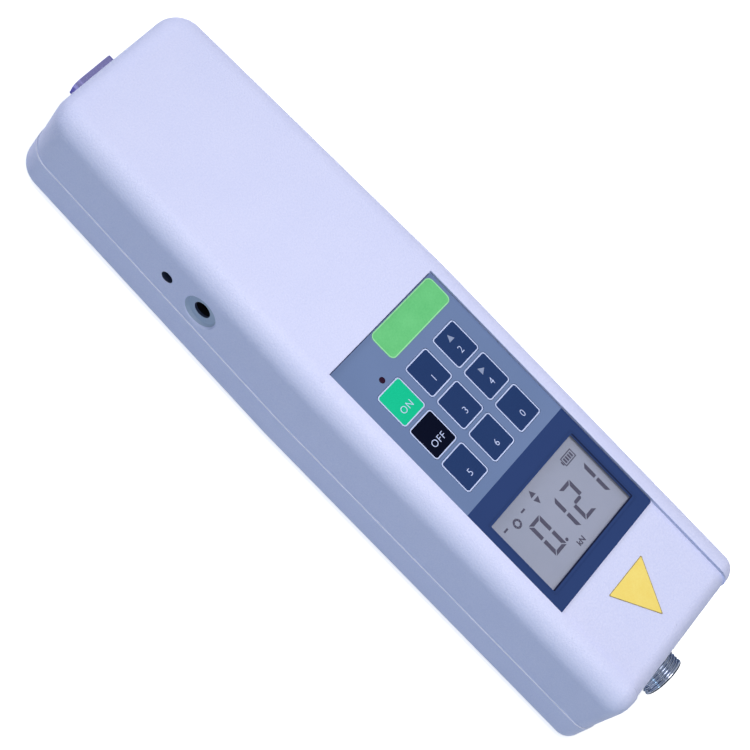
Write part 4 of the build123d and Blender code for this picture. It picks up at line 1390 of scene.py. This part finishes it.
@dataclass
class SensorSocket:
    """The threaded metal socket in the lower end, with its pins."""

    finishes: Finishes
    major: float = 7.0 * MM             # radius over the thread
    neck: float = 6.6 * MM
    sleeve: float = 6.5 * MM
    relief: float = 0.4 * MM            # plain neck between the thread and the case
    relief_slope: float = 0.05 * MM
    case_wall: float = 2.4 * MM
    flange_depth: float = 2.0 * MM
    bore_rounding: float = 0.3 * MM
    pitch: float = 1.0 * MM
    thread_depth: float = 0.62 * MM
    run_out: float = 0.6                # by the pitch
    flank: float = 1.25                 # above 1, the groove's bottom is flat
    flank_rounding: float = 0.25
    land: float = 0.55 * MM
    lead_in: float = 0.5 * MM
    lead_in_steps: int = 6
    around: int = 96
    turns_each: int = 10
    groove_share: float = 0.38
    pin_circle: float = 3.2 * MM
    pin_count: int = 5
    pin: ContactPin = ContactPin(radius=0.75 * MM, tip=0.5 * MM, along=-1)
    sharp_deg: float = 50.0
    weld: float = 2e-6

    groove_shade_index: ClassVar[int] = 1        # the skin's further materials, after its bright nickel: painted shade for the grooves and for the nose
    nose_shade_index: ClassVar[int] = 2

    def build(self) -> None:
        """Makes the threaded shell and the pins."""
        self.make_shell()
        self.make_pins()

    def make_shell(self) -> None:
        """The nose, the thread, the neck, the flange inside the case and the sleeve, as one skin."""
        node = "sensor_socket_shell"
        low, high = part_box(node)
        bore_low, bore_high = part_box("sensor_socket_insulator")
        case_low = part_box("front_cover")[0].y
        bore = (bore_high.x - bore_low.x) / 2
        axis = Vector((0, 0, (bore_low.z + bore_high.z) / 2))
        flange = (high.x - low.x) / 2
        thread_low, thread_high = low.y + self.land, case_low - self.relief
        inner_low = case_low + self.case_wall
        metal = self.finishes["nickel_plate"]
        thread = self.thread(thread_low, thread_high, axis, metal)
        # Painted shade for the thread's grooves and for the socket's nose.
        thread.materials.append(self.finishes["groove_painted_shade"])
        thread.materials.append(self.finishes["nickel_shade"])
        self.darken_grooves(thread, axis)
        turns = [step * math.pi / 2 / self.lead_in_steps for step in range(self.lead_in_steps + 1)]
        rounding = [(self.major - self.lead_in + self.lead_in * math.sin(turn),
                     low.y + self.lead_in - self.lead_in * math.cos(turn)) for turn in turns]
        tip = [(bore, high.y), (bore, low.y + self.bore_rounding), (bore + self.bore_rounding, low.y),
               *rounding, (self.major, thread_low)]
        base = [(self.major, thread_high), (self.neck, thread_high + self.relief_slope),
                (self.neck, inner_low), (flange, inner_low), (flange, inner_low + self.flange_depth),
                (self.sleeve, inner_low + self.flange_depth), (self.sleeve, high.y), (bore, high.y)]
        nose = turned(tip, axis, self.around, metal)
        # The nose takes the nickel with painted shade.
        for face in nose.polygons:
            face.material_index = self.nose_shade_index
        skins = [thread, nose, turned(base, axis, self.around, metal)]
        place_piece("sensor_socket_thread", merge(skins, weld=self.weld), "nickel_plate", stands_for=[node],
                    smooth_deg=self.sharp_deg)

    def darken_grooves(self, thread: bpy.types.Mesh, axis: Vector) -> None:
        """Gives the faces in the thread's grooves a painted shade: dark lines between the bright turns.

        Args:
            thread: The thread's mesh.
            axis: A point on the socket's axis.
        """
        radius = self.major - self.groove_share * self.thread_depth
        for face in thread.polygons:
            if math.hypot(face.center.x - axis.x, face.center.z - axis.z) < radius:
                face.material_index = self.groove_shade_index

    def thread(self, start: float, end: float, axis: Vector, metal: bpy.types.Material) -> bpy.types.Mesh:
        """The screw thread: a sheet rolled round the axis, its radius following a rising ridge.

        Args:
            start: Its lower end along Y.
            end: Its upper end along Y.
            axis: A point on the socket's axis.
            metal: The material.

        Returns:
            The open tube of the thread.
        """
        length = end - start
        grower = Grower("screw_thread", {
            "Major Radius": self.major, "Pitch": self.pitch, "Depth": self.thread_depth, "Length": length,
            "Run Out": self.pitch * self.run_out},
            {"Middle": (axis.x, (start + end) / 2, axis.z)},
            {"Around": self.around + 1, "Along": int(length / self.pitch * self.turns_each) + 1})

        size, out, calculate = grower.inputs, grower.out, "ShaderNodeMath"
        sheet = out("GeometryNodeMeshGrid", math.tau, size["Length"], size["Around"], size["Along"])
        place = grower.node("ShaderNodeSeparateXYZ", {0: out("GeometryNodeInputPosition")}).outputs
        turn, along = place[0], place[1]
        # The phase counts turns along the thread; the groove runs from 0 at a crest to 1 at its bottom.
        phase = out(calculate, out(calculate, along, size["Pitch"], operation="DIVIDE"),
                    out(calculate, turn, math.tau, operation="DIVIDE"), operation="ADD")
        groove = out(calculate, out(calculate, phase, 0.5, operation="PINGPONG"), 2.0, operation="MULTIPLY")
        soft = out(calculate, out(calculate, groove, self.flank, operation="MULTIPLY"), 1.0,
                   self.flank_rounding, operation="SMOOTH_MIN")
        # Towards both ends the groove runs out to nothing.
        to_end = out(calculate, out(calculate, size["Length"], 0.5, operation="MULTIPLY"),
                     out(calculate, along, operation="ABSOLUTE"), operation="SUBTRACT")
        run_out = out(calculate, out(calculate, to_end, size["Run Out"], operation="DIVIDE"), 1.0,
                      operation="MINIMUM")
        cut = out(calculate, out(calculate, soft, run_out, operation="MULTIPLY"), size["Depth"],
                  operation="MULTIPLY")
        radius = out(calculate, size["Major Radius"], cut, operation="SUBTRACT")
        across, up = (out(calculate, radius, out(calculate, turn, operation=wave), operation="MULTIPLY")
                      for wave in ("COSINE", "SINE"))
        rolled = out("ShaderNodeCombineXYZ", across, along, up)
        bent = grower.node("GeometryNodeSetPosition", {"Geometry": sheet, "Position": rolled}).outputs[0]
        placed = grower.node("GeometryNodeTransform", {"Geometry": bent, "Translation": size["Middle"]})
        return grower.finish(placed.outputs[0], metal)

    def make_pins(self) -> None:
        """Five gold pins with tapered tips."""
        low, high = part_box("sensor_socket_pins")
        centre, _ = centre_and_size("sensor_socket_insulator")
        turns = [math.tau * i / self.pin_count + math.pi / 2 for i in range(self.pin_count)]
        points = [Vector((centre.x + self.pin_circle * math.cos(turn), low.y,
                          centre.z + self.pin_circle * math.sin(turn))) for turn in turns]
        mesh = self.pin.grow(points, high.y - low.y, self.finishes["gold_contact"])
        place_piece("sensor_socket_contacts", mesh, "gold_contact", stands_for=["sensor_socket_pins"])


@dataclass
class SerialPlug:
    """The nine-pin plug in the upper end, with its pins and screws."""

    finishes: Finishes
    pitch: float = 2.77 * MM
    row_gap: float = 2.84 * MM
    rows: tuple[tuple[int, float], ...] = ((5, 0.5), (4, -0.5))     # pins, and height by the row gap
    pin: ContactPin = ContactPin(radius=0.5 * MM, tip=0.5 * MM, along=1)
    head_height: float = 1.3 * MM
    shank_radius: float = 1.5 * MM
    slot_width: float = 0.9 * MM

    def build(self) -> None:
        """Makes the pins and the screws."""
        self.make_pins()
        self.make_screws()

    def make_pins(self) -> None:
        """Nine gold pins in two rows."""
        low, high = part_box("serial_pins")
        centre, _ = centre_and_size("serial_shell")
        points = [Vector((self.pitch * (i - (count - 1) / 2), high.y, centre.z + rise * self.row_gap))
                  for count, rise in self.rows for i in range(count)]
        mesh = self.pin.grow(points, high.y - low.y, self.finishes["gold_contact"])
        place_piece("serial_contacts", mesh, "gold_contact", stands_for=["serial_pins"])

    def make_screws(self) -> None:
        """The two flat-head screws beside the plug, sunk flush into the wall."""
        low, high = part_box("serial_screws")
        radius = (high.z - low.z) / 2
        points = [Vector((side * (high.x - radius), high.y, (low.z + high.z) / 2)) for side in SIDES]
        kind = CrossHeadScrew(radius, self.head_height, self.slot_width, high.y - low.y, self.shank_radius,
                              (math.pi / 2, 0.0, 0.0))
        place_piece("serial_screws_dressed", kind.grow(points, self.finishes["bright_steel"]), "nickel_plate",
                    stands_for=["serial_screws"])


def dress_cad_nodes(finishes: Finishes) -> None:
    """Gives every CAD node the finish of its slot.

    Args:
        finishes: The finishes, by slot.
    """
    # The plug's shell takes tinned steel with a painted violet reflection.
    special = {"serial_shell": "tin_shell"}
    for part in frame["record"]["subparts"]:
        node = frame["nodes"][part["node"]]
        slot = special.get(part["node"], part["material_slot"])
        node.data.materials.clear()
        node.data.materials.append(finishes[slot])
        log.info("%s: dressed in %s", part["node"], slot)


@dataclass(frozen=True)
class Lamp:
    """One soft square lamp, aimed at the gauge: its place and sides in metres, and its power."""

    name: str
    place: tuple[float, float, float]
    size: tuple[float, float]
    watts: float
    colour: str

    def hang(self) -> None:
        """Puts the lamp into the scene."""
        data = bpy.data.lights.new(self.name, "AREA")
        data.shape, data.energy, data.color = "RECTANGLE", self.watts, linear(self.colour)[:3]
        data.size, data.size_y = self.size
        lamp = link(self.name, data)
        lamp.location = self.place
        lamp.rotation_euler = (-Vector(self.place)).to_track_quat("-Z", "Y").to_euler()


@dataclass
class Studio:
    """The pale floor, the lamps, the white surroundings and the camera."""

    camera_place: tuple[float, float, float] = (-0.3737, 0.0364, 0.5724)
    camera_aim: tuple[float, float, float] = (0.5565, -0.0512, -0.8292)
    camera_up: tuple[float, float, float] = (0.5999, 0.7153, 0.3584)
    camera_range: tuple[float, float] = (0.05, 20.0)
    focal_px: float = 2314.74
    image_px: int = 750
    sensor_mm: float = 36.0
    ambient: float = 0.28
    ambient_tint: str = "#DAEBFF"
    floor_size: float = 6.0
    floor_glow: float = 0.68            # what the lamps leave short of white
    floor_tint: str = "#8C93A8"         # the tone that the floor throws back onto the gauge
    white: str = "#FFFFFF"
    lamps: tuple[Lamp, ...] = (
        Lamp("key_lamp", (-0.05, -0.02, 0.5), (0.26, 0.22), 1.5, "#FFF8F4"),
        Lamp("back_lamp", (0.5, 1.7, 0.72), (0.8, 0.6), 11.0, "#F6F6FF"),
        Lamp("front_lamp", (-0.444, -0.037, 0.606), (0.09, 0.09), 0.17, "#FFFCF4"),
        Lamp("side_lamp", (-1.0, -0.15, 0.15), (0.58, 0.16), 1.4, "#CFF4FF"))

    def build(self) -> None:
        """Makes all of it."""
        self.make_camera()
        self.make_world()
        self.make_floor()
        for lamp in self.lamps:
            lamp.hang()
        bpy.context.scene.view_settings.view_transform = "Standard"

    def make_camera(self) -> None:
        """The camera at the photograph's place and angle."""
        data = bpy.data.cameras.new("camera")
        data.sensor_width = self.sensor_mm
        data.lens = self.focal_px / self.image_px * self.sensor_mm
        data.clip_start, data.clip_end = self.camera_range
        camera = link("camera", data)
        back = -Vector(self.camera_aim).normalized()
        right = Vector(self.camera_up).cross(back).normalized()
        turn = Matrix((right, back.cross(right), back)).transposed()
        camera.matrix_world = Matrix.Translation(self.camera_place) @ turn.to_4x4()
        bpy.context.scene.camera = camera

    def two_faced(self, tree: bpy.types.NodeTree, real: bpy.types.Node, shown: bpy.types.Node,
                  output: str) -> None:
        """Ends a tree with one shader for the light it gives and another for what is seen of it.

        Args:
            tree: The material's or the world's tree.
            real: The shader that lights the gauge.
            shown: The shader for rays from the camera, and for those that a mirror or glass sends on.
            output: The type of the tree's last node.
        """
        path = add(tree, "ShaderNodeLightPath").outputs
        seen = add(tree, "ShaderNodeMath", {0: path["Is Camera Ray"], 1: path["Is Glossy Ray"]},
                   operation="MAXIMUM").outputs[0]
        seen = add(tree, "ShaderNodeMath", {0: seen, 1: path["Is Transmission Ray"]},
                   operation="MAXIMUM").outputs[0]
        both = add(tree, "ShaderNodeMixShader", {0: seen, 1: real.outputs[0], 2: shown.outputs[0]})
        add(tree, output, {0: both.outputs[0]})

    def make_world(self) -> None:
        """White to the camera, and an even soft light to everything else."""
        world = bpy.data.worlds.new("studio")
        world.use_nodes = True
        tree = world.node_tree
        tree.nodes.clear()
        light = add(tree, "ShaderNodeBackground", {0: linear(self.ambient_tint), 1: self.ambient})
        white = add(tree, "ShaderNodeBackground", {0: linear(self.white), 1: 1.0})
        self.two_faced(tree, light, white, "ShaderNodeOutputWorld")
        bpy.context.scene.world = world

    def make_floor(self) -> None:
        """A pale floor under the gauge that keeps its shadow."""
        mesh = bpy.data.meshes.new("floor")
        corners = [(x * self.floor_size / 2, y * self.floor_size / 2, 0)
                   for x, y in ((-1, -1), (1, -1), (1, 1), (-1, 1))]
        mesh.from_pydata(corners, [], [(0, 1, 2, 3)])
        material = bpy.data.materials.new("floor_white")
        material.use_nodes = True
        tree = material.node_tree
        tree.nodes.clear()
        dull = add(tree, "ShaderNodeBsdfDiffuse", {0: linear(self.floor_tint)})
        lit = add(tree, "ShaderNodeBsdfDiffuse", {0: linear(self.white)})
        glow = add(tree, "ShaderNodeEmission", {0: linear(self.white), 1: self.floor_glow})
        white = add(tree, "ShaderNodeAddShader", {0: lit.outputs[0], 1: glow.outputs[0]})
        self.two_faced(tree, dull, white, "ShaderNodeOutputMaterial")
        mesh.materials.append(material)
        link("floor", mesh)


def main() -> None:
    """Builds the gauge's looks in order."""
    logging.basicConfig(level=logging.INFO, format="%(message)s")
    finishes = Finishes()
    dress_cad_nodes(finishes)
    for assembly in (Case(finishes), Keypad(finishes), Display(finishes), Labels(finishes),
                     SensorSocket(finishes), SerialPlug(finishes), Studio()):
        assembly.build()


if __name__ == "__main__":
    main()
